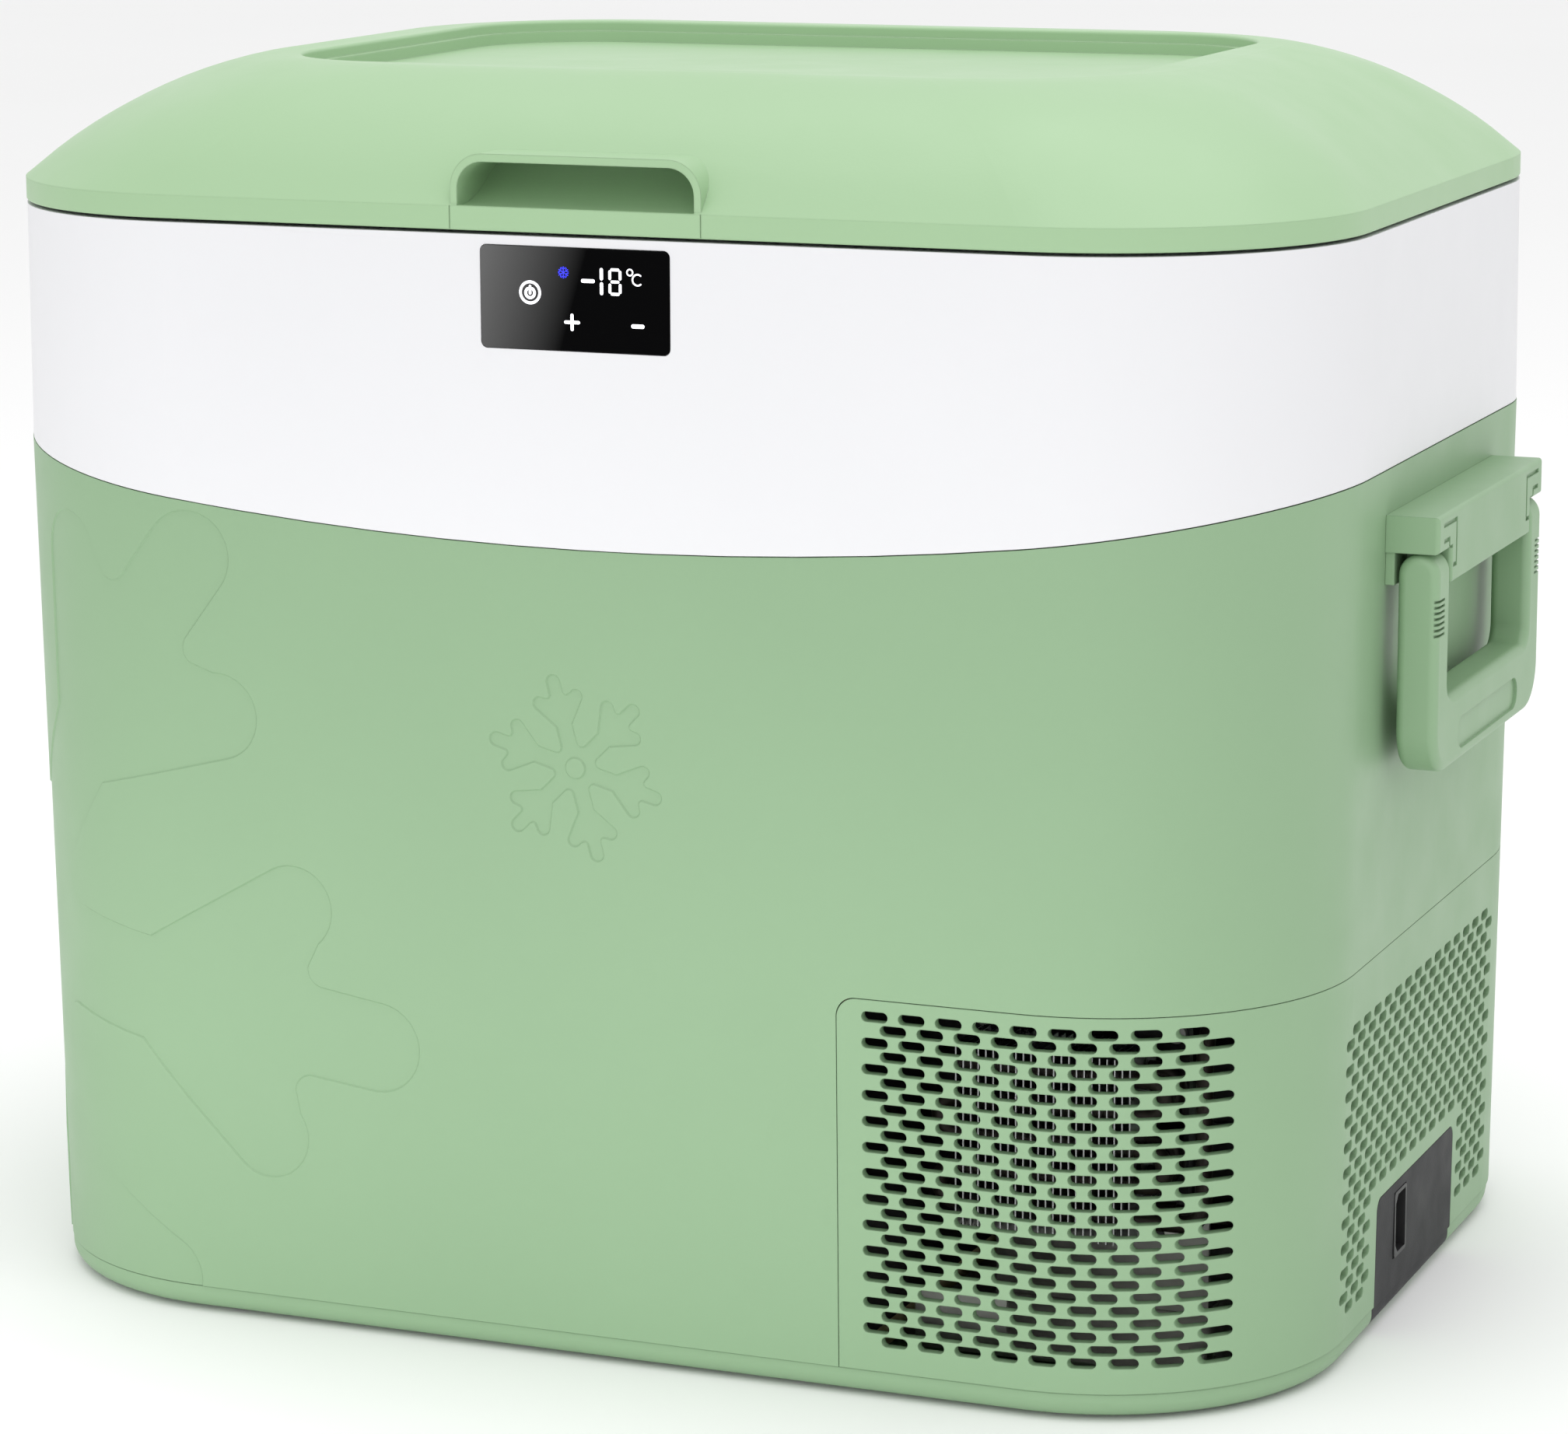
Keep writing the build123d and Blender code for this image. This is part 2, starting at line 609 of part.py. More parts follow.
def make_fan_bracket():
    half = FAN_SIZE / 2
    y0, y1 = FAN_Y + FAN_DEEP + 0.2, FAN_Y + FAN_DEEP + 1.7
    plate = block(FAN_X - half, FAN_X + half, y0, y1, PLATFORM_Z + PLATFORM_T + 0.1, FAN_Z + half)
    plate -= rod((FAN_X, y0 - 5, FAN_Z), (FAN_X, y1 + 5, FAN_Z), half - 2)
    foot = block(FAN_X - half, FAN_X + half, y0, y0 + 14, PLATFORM_Z + PLATFORM_T + 0.1, PLATFORM_Z + PLATFORM_T + 1.6)
    plate += foot
    for x in (-35.5, 35.5):
        for z in (-35.5, 35.5):
            plate -= rod((FAN_X + x, y0 - 5, FAN_Z + z), (FAN_X + x, y1 + 5, FAN_Z + z), 2.1)
    return plate


def make_fan_screws():
    screws = Part()
    y0, y1 = FAN_Y - 2.2, FAN_Y + FAN_DEEP + 4
    for x in (-35.5, 35.5):
        for z in (-35.5, 35.5):
            shaft = rod((FAN_X + x, y0, FAN_Z + z), (FAN_X + x, y1, FAN_Z + z), 1.9)
            head = rod((FAN_X + x, y0, FAN_Z + z), (FAN_X + x, y0 + 2.2, FAN_Z + z), 3.6)
            screws += shaft + head
    return screws


def make_driver_board():
    board = block(108, 204, 96, 158, 34, 35.6)
    for x, y, w, d, h in ((130, 115, 18, 14, 16), (134, 144, 12, 12, 24), (154, 146, 12, 12, 24),
                          (196, 112, 14, 12, 12), (114, 128, 8, 14, 10), (180, 147, 14, 14, 9)):
        board += block(x - w / 2, x + w / 2, y - d / 2, y + d / 2, 35.6, 35.6 + h)
    for x in (113, 198):
        for y in (101, 152):
            board += upright(x, y, PLATFORM_Z + PLATFORM_T + 0.05, 34, 3.5)
    return board


def make_driver_heatsink():
    sink = block(146, 182, 102, 130, 36.2, 40.2)
    for count in range(8):
        y = 102 + count * 3.8
        sink += block(146, 182, y, y + 1.4, 36.2, 60)
    return sink


def make_filter_drier():
    profile = [(0, -38), (3.2, -38), (3.2, -30), (8.5, -22), (8.5, 22), (3.2, 30), (3.2, 38), (0, 38)]
    outline = Polyline(*profile, (0, -38))
    drier = revolve(make_face(Plane.XZ * outline), Axis.Z)
    return Pos(228, -60, 100) * Rot(90, 0, 0) * drier


def make_discharge_tube():
    points = [
        (177, -4, 130.2), (177, -4, 138), (214, -60, 138),
        (214, -151, 138), (214, -151, 64), (200.2, -151, 64),
    ]
    return tube(points, [5, 14, 16, 8], 3.0)


def make_suction_tube():
    coil_x = TUB_HALF_X + 7
    points = [
        (143, 8, 130.2), (143, 8, 138), (118, -30, 138), (118, -60, 138), (118, -60, 163),
        (232, -60, 163), (232, -10, 163), (232, -10, 341), (coil_x, -10, 341), (coil_x, -39.8, 341),
    ]
    return tube(points, [6, 12, 11, 11, 20, 20, 4.8, 4.8], 3.0)


def make_liquid_tube():
    points = [
        (200.2, -137, 64), (228, -137, 64), (228, -137, 100), (228, -98.2, 100),
    ]
    return tube(points, [12, 14], 2.6)


def make_capillary_tube():
    points = [(228, -21.8, 100), (228, 96, 100), (190, 96, 100), (190, 96, 119.8)]
    return tube(points, [20, 9], 1.6)


def make_dc_lead():
    leads = []
    for side in (-1, 1):
        z = SOCKET_Z + side * PIN_PITCH / 2
        face = HALF_X_LOW + side_offset(SOCKET_Z)
        x = face - SOCKET_DEEP - 8
        terminal = 196 + 4 * side
        points = [
            (x, SOCKET_Y, z), (x - 5, SOCKET_Y, z), (x - 5, 112, z + 26),
            (terminal, 112, z + 26), (terminal, 112, 47.7),
        ]
        leads.append(tube(points, [4.5, 8, 4.5], 1.7).solid())
    return Compound(children=leads)


def make_display_lead():
    y = -BAND_HALF_Y + 12.0
    points = [
        (-19, y, 371), (-19, -166, 371), (104, -166, 371), (108, -166, 330), (108, -166, 165),
        (108, -150, 158), (108, -150, 138), (108, 115, 138), (130, 115, 120), (130, 115, 51.7),
    ]
    return tube(points, [8, 18, 30, 6, 6, 8, 12, 12], 2.0)


def bracket_screw_spots():
    return [(y, z) for y in (-44, 44) for z in (281, 296)]


def make_handle_bracket(side):
    half = HANDLE_HALF_Y
    bracket = block(240, HANDLE_OUT_X, -half, half, HANDLE_BAR_Z, HANDLE_TOP_Z)
    bracket += block(240, HANDLE_OUT_X, -BLOCK_HALF_Y, BLOCK_HALF_Y, HANDLE_BLOCK_Z, HANDLE_TOP_Z)
    outer = bracket.faces().sort_by(Axis.X)[-1]
    bracket = fillet(outer.edges(), 1.6)
    bracket += block(240, 255.4, -half + 1, half - 1, HANDLE_BLOCK_Z + 1, HANDLE_TOP_Z - 2)
    bracket -= lower_form(0.05, 200, 330)
    bracket -= rod((PIVOT_X, -90, PIVOT_Z), (PIVOT_X, 90, PIVOT_Z), PIVOT_R + 0.02)
    for end in (-1, 1):
        bracket -= groove(end)
    for y, z in bracket_screw_spots():
        bracket -= rod((230, y, z), (262 if z > 288 else 258.5, y, z), 1.9)
    if side < 0:
        bracket = mirror(bracket, about=Plane.YZ)
    return bracket


def groove(end):
    """Two shallow hooked grooves in the outer face of a bracket, near one end."""
    deep, wide = 0.9, 1.5
    x0, x1 = HANDLE_OUT_X - deep, HANDLE_OUT_X + 5
    runs = [
        (-67.0, -49.0, 296.6, 296.6 + wide),
        (-50.5, -49.0, 281.5, 296.6 + wide),
        (-54.0, -49.0, 281.0, 281.0 + wide),
        (-66.5, -58.5, 291.0, 291.0 + wide),
        (-60.0, -58.5, 288.5, 291.0 + wide),
        (-60.0, -54.6, 288.0, 288.0 + 1.2),
    ]
    tool = Part()
    for y0, y1, z0, z1 in runs:
        low, high = sorted((-end * y0, -end * y1))
        tool += block(x0, x1, low, high, z0, z1)
    return tool


def make_bracket_screws(side):
    screws = Part()
    for y, z in bracket_screw_spots():
        wall = HALF_X_LOW + side_offset(z) - WALL
        tip = 261.5 if z > 288 else 258.0
        screw = rod((wall - 2.6, y, z), (tip, y, z), 1.85)
        screw += rod((wall - 2.6, y, z), (wall - 0.05, y, z), 3.9)
        screws += screw
    if side < 0:
        screws = mirror(screws, about=Plane.YZ)
    return screws


def make_handle_pivot(side):
    pivot = rod((PIVOT_X, -71, PIVOT_Z), (PIVOT_X, 71, PIVOT_Z), PIVOT_R)
    if side < 0:
        pivot = mirror(pivot, about=Plane.YZ)
    return pivot


def make_handle_bail(side):
    outer_r, inner_r = 17.0, 6.0
    thick = HANDLE_OUT_X - BAIL_IN_X
    tall = PIVOT_Z - BAIL_BOTTOM_Z
    plan = Pos(0, BAIL_BOTTOM_Z + tall / 2) * Rectangle(2 * HANDLE_HALF_Y, tall)
    plan = fillet(plan.vertices().sort_by(Axis.Y)[:2], outer_r)
    opening_half = HANDLE_HALF_Y - BAIL_ARM
    opening = Pos(0, BAIL_OPEN_Z + 50) * Rectangle(2 * opening_half, 100)
    opening = fillet(opening.vertices().sort_by(Axis.Y)[:2], inner_r)
    loop = plan - opening
    side_plane = Plane((BAIL_IN_X, 0, 0), x_dir=(0, 1, 0), z_dir=(1, 0, 0))
    bail = extrude(side_plane * loop, amount=thick)
    rim = [edge for face in bail.faces().filter_by(Axis.X) for edge in face.edges()]
    bail = fillet([edge for edge in rim if edge.center().Z < PIVOT_Z - 0.5], BAIL_ROUND)
    middle_x = BAIL_IN_X + thick / 2
    for end in (-1, 1):
        y0, y1 = sorted((end * opening_half, end * HANDLE_HALF_Y))
        eye = rod((middle_x, y0, PIVOT_Z), (middle_x, y1, PIVOT_Z), thick / 2)
        bail += fillet(eye.edges().filter_by(GeomType.CIRCLE), BAIL_ROUND)
    recess = Pos(0, (213.5 + 225.0) / 2) * SlotOverall(84, 11.5)
    recess_plane = Plane((HANDLE_OUT_X - 1.2, 0, 0), x_dir=(0, 1, 0), z_dir=(1, 0, 0))
    bail -= extrude(recess_plane * recess, amount=5)
    for end in (-1, 1):
        for count in range(7):
            z = 259 + 2.0 * count
            y0, y1 = sorted((end * 64, end * 76))
            bail -= block(HANDLE_OUT_X - 1.6, HANDLE_OUT_X + 2, y0, y1, z, z + 0.9)
    bail -= rod((PIVOT_X, -71.5, PIVOT_Z), (PIVOT_X, 71.5, PIVOT_Z), PIVOT_R + RUNNING)
    if side < 0:
        bail = mirror(bail, about=Plane.YZ)
    return bail


def hinge_knuckle(x, half, hole):
    barrel = rod((x - half, HINGE_Y, HINGE_Z), (x + half, HINGE_Y, HINGE_Z), HINGE_BARREL_R)
    return barrel, rod((x - half - 5, HINGE_Y, HINGE_Z), (x + half + 5, HINGE_Y, HINGE_Z), hole)


def make_hinge_leaf(side):
    x = side * HINGE_X
    leaf = block(x - 30, x + 30, 180, BAND_HALF_Y + 3.4, 368, 391)
    leaf = fillet(leaf.edges().filter_by(Axis.Y), 4)
    leaf += block(x - 12, x + 12, 180, HINGE_Y, 385, HINGE_Z - 2.0)
    barrel, hole = hinge_knuckle(x, 12, HINGE_PIN_R + 0.01)
    leaf += barrel
    leaf -= band_form(0.05, 340, 404)
    leaf -= slab(BAND_HALF_X, BAND_HALF_Y + 0.5, CORNER_R, 395, 410)
    leaf -= hole
    for offset in (-20, 20):
        leaf -= rod((x + offset, 180, 378), (x + offset, 200, 378), 1.9)
    return leaf


def make_hinge_screws():
    screws = Part()
    for side in (-1, 1):
        for offset in (-20, 20):
            x = side * HINGE_X + offset
            screws += rod((x, 181, 378), (x, BAND_HALF_Y + 5.4, 378), 1.6)
            screws += rod((x, BAND_HALF_Y + 3.5, 378), (x, BAND_HALF_Y + 5.4, 378), 3.4)
    return screws


def make_hinge_pins():
    pins = Part()
    for side in (-1, 1):
        x = side * HINGE_X
        pins += rod((x - 27, HINGE_Y, HINGE_Z), (x + 27, HINGE_Y, HINGE_Z), HINGE_PIN_R)
    return pins


def make_lid_hinge_arms():
    arms = Part()
    for side in (-1, 1):
        for end in (-1, 1):
            x = side * HINGE_X + end * 19.4
            half = 7.0
            barrel, hole = hinge_knuckle(x, half, HINGE_PIN_R + RUNNING)
            arm = block(x - half, x + half, 150, HINGE_Y, HINGE_Z + 0.6, LID_CREASE_Z - 2.0)
            arm += barrel
            arm -= slab(BAND_HALF_X, BAND_HALF_Y + 0.1, CORNER_R, 390, 430)
            arm -= hole
            arms += arm
    return arms


DOME_LEVELS = (
    (0.000, 408.8),
    (0.060, 413.2),
    (0.180, 421.6),
    (0.360, 431.6),
    (0.560, 440.4),
    (0.780, 447.2),
    (0.930, 450.2),
    (1.000, 450.8),
)
DOME_IN_X, DOME_IN_Y, DOME_IN_R = 78.0, 67.0, 20.0


def dome(offset, drop):
    """Domed upper part of the lid, as a loft between rounded outlines that close inwards."""
    sections = []
    for share, height in DOME_LEVELS:
        half_x = BAND_HALF_X - share * DOME_IN_X - offset
        half_y = BAND_HALF_Y - share * DOME_IN_Y - offset
        radius = CORNER_R + 2.4 - share * DOME_IN_R - offset
        sections.append(Pos(0, 0, height - drop) * RectangleRounded(2 * half_x, 2 * half_y, radius))
    return loft(sections)


def make_lid_shell():
    skirt = slab(BAND_HALF_X, BAND_HALF_Y, CORNER_R + 2.4, LID_BOTTOM_Z, LID_CREASE_Z)
    skirt = fillet(skirt.faces().sort_by(Axis.Z)[0].edges(), 0.8)
    lid = skirt + dome(0, 0)
    lid += grip_hood()
    inside = slab(BAND_HALF_X - WALL, BAND_HALF_Y - WALL, CORNER_R + 2.4 - WALL, LID_BOTTOM_Z - 1, LID_CREASE_Z - 2.5)
    inside += dome(WALL, 3.0)
    inside -= slab(TRAY_HALF_X + 3, TRAY_HALF_Y + 3, TRAY_R + 3, LID_TOP_Z - TRAY_DEPTH - 3, LID_TOP_Z + 5)
    inside -= grip_recess(3.0)
    lid -= inside
    for x, y in lid_screw_spots():
        lid += upright(x, y, LID_BOTTOM_Z + 5.6, 417, 4.5) - upright(x, y, 400, 415, 1.55)
    lid -= tray_recess()
    lip = lid.faces().sort_by(Axis.Z)[-1].inner_wires()[0].edges()
    lid = fillet(lip, TRAY_LIP_R)
    lid -= grip_recess(0)
    for x in (-GRIP_HALF, GRIP_HALF):
        front = -BAND_HALF_Y
        lid -= block(x - WITNESS / 2, x + WITNESS / 2, front - 1, front + WITNESS, 400, LID_CREASE_Z)
    return lid


def tray_recess():
    """Stepped recess in the top of the lid."""
    top = LID_TOP_Z + 5
    upper = slab(TRAY_HALF_X, TRAY_HALF_Y, TRAY_R, LID_TOP_Z - TRAY_STEP, top)
    lower = slab(TRAY_HALF_X - 3, TRAY_HALF_Y - 3, TRAY_R - 3, LID_TOP_Z - TRAY_DEPTH, top)
    return upper + lower


def arch(half, high, radius):
    """Arched outline of the finger grip, in the XZ plane: upright legs and round shoulders."""
    low = 395.0
    outline = Pos(0, (low + high) / 2) * Rectangle(2 * half, high - low)
    shoulders = outline.vertices().sort_by(Axis.Y)[-2:]
    return fillet(shoulders, radius)


def grip_hood():
    front = Plane((0, -130, 0), x_dir=(1, 0, 0), z_dir=(0, -1, 0))
    hood = extrude(front * arch(GRIP_HALF, GRIP_TOP_Z, GRIP_CORNER_R), amount=BAND_HALF_Y - 0.6 - 130)
    return hood - block(-60, 60, -200, -100, 390, LID_BOTTOM_Z + 2)


def grip_recess(grow):
    """Space for the fingers: the arched opening over a floor that curves up to the back."""
    front = Plane((0, -140, 0), x_dir=(1, 0, 0), z_dir=(0, -1, 0))
    half, high = GRIP_HALF - GRIP_WALL + grow, GRIP_TOP_Z - GRIP_ROOF + grow
    tunnel = extrude(front * arch(half, high, GRIP_CORNER_R - GRIP_WALL + grow), amount=80)
    side = Plane((-100, 0, 0), x_dir=(0, 1, 0), z_dir=(1, 0, 0))
    edge, sill = -BAND_HALF_Y + 1, LID_CREASE_Z + 0.2 - 0.8 * grow
    back, roof = -158 + grow, 424.0
    scoop = ThreePointArc((edge, sill), (-169 + grow * 0.7, 413.4 - grow * 0.7), (back, roof))
    rest = Polyline((back, roof), (back, 440), (edge - 11, 440), (edge - 11, sill), (edge, sill))
    wedge = extrude(side * make_face([scoop, rest]), amount=200)
    return tunnel & wedge


def make_lid_liner():
    low = LID_BOTTOM_Z + 3.4
    liner = slab(BAND_HALF_X - WALL - GAP, BAND_HALF_Y - WALL - GAP, CORNER_R - 1, low, low + 2)
    pan = (TUB_HALF_X - 9, TUB_HALF_Y - 9, TUB_R - 6)
    liner += slab(*pan, SEAM_Z - 8, low + 1)
    liner -= slab(TUB_HALF_X - 11, TUB_HALF_Y - 11, TUB_R - 8, SEAM_Z - 6, low + 5)
    for x, y in lid_screw_spots():
        liner -= upright(x, y, 395, 415, 1.7)
    return liner


def make_lid_gasket():
    low, high = SEAM_Z - GAP, LID_BOTTOM_Z + 3.35
    ring = slab(TUB_HALF_X + 14, TUB_HALF_Y + 14, TUB_R + 14, low, high)
    ring -= slab(TUB_HALF_X + 4, TUB_HALF_Y + 4, TUB_R + 4, low - 1, high + 1)
    return ring


def make_lid_foam():
    low = LID_BOTTOM_Z + 5.7
    foam = dome(WALL + 0.4, 3.6) + slab(BAND_HALF_X - WALL - 0.6, BAND_HALF_Y - WALL - 0.6, CORNER_R - 1, low, LID_CREASE_Z - 3)
    foam &= slab(300, 300, 20, low, 500)
    foam -= slab(TRAY_HALF_X + 3.5, TRAY_HALF_Y + 3.5, TRAY_R + 3.5, LID_TOP_Z - TRAY_DEPTH - 3.5, LID_TOP_Z + 5)
    foam -= grip_recess(3.6)
    foam += slab(TUB_HALF_X - 11.5, TUB_HALF_Y - 11.5, TUB_R - 8.5, SEAM_Z - 5.8, low + 1)
    for x, y in lid_screw_spots():
        foam -= upright(x, y, 400, 430, 5)
    return foam


def lid_screw_spots():
    return [(x, y) for x in (-236, 236) for y in (-70, 70)] + [(x, y) for x in (-120, 120) for y in (-174, 174)]


def make_lid_screws():
    screws = Part()
    low = LID_BOTTOM_Z + 3.4
    for x, y in lid_screw_spots():
        screws += upright(x, y, low - 1.9, low - 0.05, 3.2) + upright(x, y, low - 1, 414, 1.5)
    return screws


BASKET_X0, BASKET_X1, BASKET_HALF_Y = -209.0, 63.0, 143.0
BASKET_Z0, BASKET_Z1, BASKET_WALL = 49.5, 330.0, 3.0
BASKET_R = 30.0
BASKET_BAR = 5.0                            # width of the bars between the windows
BASKET_PITCH_X, BASKET_PITCH_Y, BASKET_PITCH_Z = 35.0, 37.0, 39.0


def basket_form(inset, low, high):
    """Solid form of the basket, moved inwards by the inset."""
    half_x = (BASKET_X1 - BASKET_X0) / 2 - inset
    return Pos(basket_middle(), 0, 0) * slab(half_x, BASKET_HALF_Y - inset, BASKET_R - inset, low, high)


def basket_middle():
    return (BASKET_X0 + BASKET_X1) / 2


def basket_cells(middle, pitch):
    """Limits of the six windows along one direction."""
    starts = [middle + count * pitch + BASKET_BAR / 2 for count in range(-3, 3)]
    return [(start, start + pitch - BASKET_BAR) for start in starts]


def make_basket_floor():
    floor = basket_form(0, BASKET_Z0, BASKET_Z0 + BASKET_WALL)
    windows = [
        block(x0, x1, y0, y1, BASKET_Z0 - 5, BASKET_Z0 + 20)
        for x0, x1 in basket_cells(basket_middle(), BASKET_PITCH_X)
        for y0, y1 in basket_cells(0, BASKET_PITCH_Y)
    ]
    floor = floor.cut(*[window.solid() for window in windows])
    for x in (BASKET_X0 + 36, BASKET_X1 - 36):
        for y in (-BASKET_HALF_Y + 32, BASKET_HALF_Y - 32):
            floor += upright(x, y, TUB_FLOOR_Z + GAP, BASKET_Z0 + 2, 9)
    return floor


def make_basket_sides():
    """Four flat grille panels that stand on the floor between the corners."""
    low, high, wall = BASKET_Z0 + BASKET_WALL, BASKET_Z1, BASKET_WALL
    x0, x1, half_y = BASKET_X0 + BASKET_R, BASKET_X1 - BASKET_R, BASKET_HALF_Y
    rows = [BASKET_Z0 + 10 + BASKET_PITCH_Z * row for row in range(7)]
    tall = BASKET_PITCH_Z - BASKET_BAR - 2
    across = [
        block(a, b, -200, 200, z, z + tall).solid()
        for a, b in basket_cells(basket_middle(), BASKET_PITCH_X) for z in rows
    ]
    along = [
        block(-300, 300, a, b, z, z + tall).solid()
        for a, b in basket_cells(0, BASKET_PITCH_Y) for z in rows
    ]
    panels = Part()
    for side in (-1, 1):
        y0, y1 = sorted((side * half_y, side * (half_y - wall)))
        panels += block(x0, x1, y0, y1, low, high).cut(*across)
    for x in (BASKET_X0, BASKET_X1 - wall):
        panels += block(x, x + wall, -half_y + BASKET_R, half_y - BASKET_R, low, high).cut(*along)
    return panels


def make_basket_corners():
    """Four rounded corner posts between the grille panels."""
    low, high = BASKET_Z0 + BASKET_WALL, BASKET_Z1
    ring = basket_form(0, low, high) - basket_form(BASKET_WALL, low - 1, high + 1)
    x0, x1, half_y = BASKET_X0 + BASKET_R, BASKET_X1 - BASKET_R, BASKET_HALF_Y - BASKET_R
    ring -= block(x0, x1, -200, 200, low - 1, high + 1)
    return ring - block(-300, 300, -half_y, half_y, low - 1, high + 1)


def main():
    os.makedirs("parts", exist_ok=True)
    makers = {
        "base_tray": make_base_tray,
        "base_feet": make_feet,
        "base_screws": make_base_screws,
        "lower_shell": make_lower_shell,
        "upper_band": make_upper_band,
        "vent_cover": make_vent_cover,
        "socket_plate": make_socket_plate,
        "dc_socket": make_dc_socket,
        "dc_socket_pins": make_socket_pins,
        "display_glass": make_display_glass,
        "control_board": make_control_board,
        "inner_liner": make_inner_liner,
        "interior_lamp": make_interior_lamp,
        "foam_insulation": make_foam,
        "bay_divider": make_bay_divider,
        "evaporator_coil": make_evaporator_coil,
        "compressor": make_compressor,
        "compressor_grommets": make_compressor_mounts,
        "compressor_bolts": make_compressor_bolts,
        "compressor_platform": make_platform,
        "platform_screws": make_platform_screws,
        "condenser_fins": make_condenser_fins,
        "condenser_tube": make_condenser_tube,
        "fan_frame": make_fan_frame,
        "fan_rotor": make_fan_rotor,
        "fan_bracket": make_fan_bracket,
        "fan_screws": make_fan_screws,
        "driver_board": make_driver_board,
        "driver_heatsink": make_driver_heatsink,
        "filter_drier": make_filter_drier,
        "discharge_tube": make_discharge_tube,
        "suction_tube": make_suction_tube,
        "liquid_tube": make_liquid_tube,
        "capillary_tube": make_capillary_tube,
        "dc_lead": make_dc_lead,
        "display_lead": make_display_lead,
        "hinge_screws": make_hinge_screws,
        "hinge_pins": make_hinge_pins,
        "lid_shell": make_lid_shell,
        "lid_liner": make_lid_liner,
        "lid_foam": make_lid_foam,
        "lid_gasket": make_lid_gasket,
        "lid_hinge_arms": make_lid_hinge_arms,
        "lid_screws": make_lid_screws,
        "basket_floor": make_basket_floor,
        "basket_sides": make_basket_sides,
        "basket_corners": make_basket_corners,
    }
    for name, maker in makers.items():
        save(name, maker())
    for side, word in ((-1, "left"), (1, "right")):
        save("handle_bracket_" + word, make_handle_bracket(side))
        save("bracket_screws_" + word, make_bracket_screws(side))
        save("handle_pivot_" + word, make_handle_pivot(side))
        save("handle_bail_" + word, make_handle_bail(side))
        save("hinge_leaf_" + word, make_hinge_leaf(side))


main()
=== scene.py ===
import json
from math import atan2, cos, pi, radians, sin

import bmesh
import bpy
from mathutils import Matrix, Vector
from mathutils.geometry import tessellate_polygon


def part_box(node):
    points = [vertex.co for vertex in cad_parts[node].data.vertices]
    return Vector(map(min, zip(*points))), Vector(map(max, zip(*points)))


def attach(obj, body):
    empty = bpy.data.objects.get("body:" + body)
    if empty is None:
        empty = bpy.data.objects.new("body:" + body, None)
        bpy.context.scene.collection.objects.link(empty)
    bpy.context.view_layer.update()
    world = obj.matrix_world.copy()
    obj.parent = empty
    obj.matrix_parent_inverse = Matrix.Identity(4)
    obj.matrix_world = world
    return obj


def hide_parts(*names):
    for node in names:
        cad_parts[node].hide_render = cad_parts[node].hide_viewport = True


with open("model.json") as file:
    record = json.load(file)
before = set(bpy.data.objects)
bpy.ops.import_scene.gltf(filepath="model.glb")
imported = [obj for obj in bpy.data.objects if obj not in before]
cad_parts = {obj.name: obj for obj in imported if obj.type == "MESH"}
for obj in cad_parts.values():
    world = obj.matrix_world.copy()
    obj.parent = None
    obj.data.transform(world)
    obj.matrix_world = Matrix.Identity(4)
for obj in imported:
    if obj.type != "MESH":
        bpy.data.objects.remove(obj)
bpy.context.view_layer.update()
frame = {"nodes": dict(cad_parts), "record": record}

# A portable compressor fridge, in metres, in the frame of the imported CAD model.

MM = 0.001
nodes = frame["nodes"]
slot_of = {row["node"]: row["material_slot"] for row in frame["record"]["subparts"]}


# ---- camera ----

CAMERA_PLACE = (0.71169, -1.75434, 0.58572)
CAMERA_YAW, CAMERA_PITCH, CAMERA_ROLL = radians(22.193), radians(11.612), radians(-0.315)
CAMERA_LENS = 116.57
SENSOR = 36.0
CLIP_NEAR, CLIP_FAR = 0.05, 200.0


def make_camera():
    ahead = Vector((
        -sin(CAMERA_YAW) * cos(CAMERA_PITCH),
        cos(CAMERA_YAW) * cos(CAMERA_PITCH),
        -sin(CAMERA_PITCH),
    ))
    level = Vector((cos(CAMERA_YAW), sin(CAMERA_YAW), 0.0))
    above = level.cross(ahead)
    right = cos(CAMERA_ROLL) * level + sin(CAMERA_ROLL) * above
    up = -sin(CAMERA_ROLL) * level + cos(CAMERA_ROLL) * above
    data = bpy.data.cameras.new("camera")
    data.lens = CAMERA_LENS
    data.sensor_width = SENSOR
    data.clip_start, data.clip_end = CLIP_NEAR, CLIP_FAR
    camera = bpy.data.objects.new("camera", data)
    turn = Matrix((right, up, -ahead)).transposed().to_4x4()
    camera.matrix_world = Matrix.Translation(CAMERA_PLACE) @ turn
    bpy.context.scene.collection.objects.link(camera)
    bpy.context.scene.camera = camera


# ---- materials ----

GRAIN_DEPTH = 0.0002                        # height of the fine relief, in metres
EDGE_SAMPLES = 4
UNEVEN_SCALE = 6                            # how much finer the roughness changes than the shade
ROUGH_SPREAD = 0.05                         # how far the roughness strays either way


def new_material(name):
    material = bpy.data.materials.new(name)
    material.use_nodes = True
    tree = material.node_tree
    return material, tree, tree.nodes["Principled BSDF"]


def noise(tree, where, scale, detail=2.0):
    """Noise texture over the object's own coordinates."""
    texture = tree.nodes.new("ShaderNodeTexNoise")
    texture.inputs["Scale"].default_value = scale
    texture.inputs["Detail"].default_value = detail
    tree.links.new(where, texture.inputs["Vector"])
    return texture.outputs["Fac"]


def between(tree, fac, low, high, start=0.3, stop=0.7):
    """Number that goes from low to high as fac goes from start to stop."""
    spread = tree.nodes.new("ShaderNodeMapRange")
    spread.inputs["From Min"].default_value = start
    spread.inputs["From Max"].default_value = stop
    spread.inputs["To Min"].default_value = low
    spread.inputs["To Max"].default_value = high
    tree.links.new(fac, spread.inputs["Value"])
    return spread.outputs["Result"]


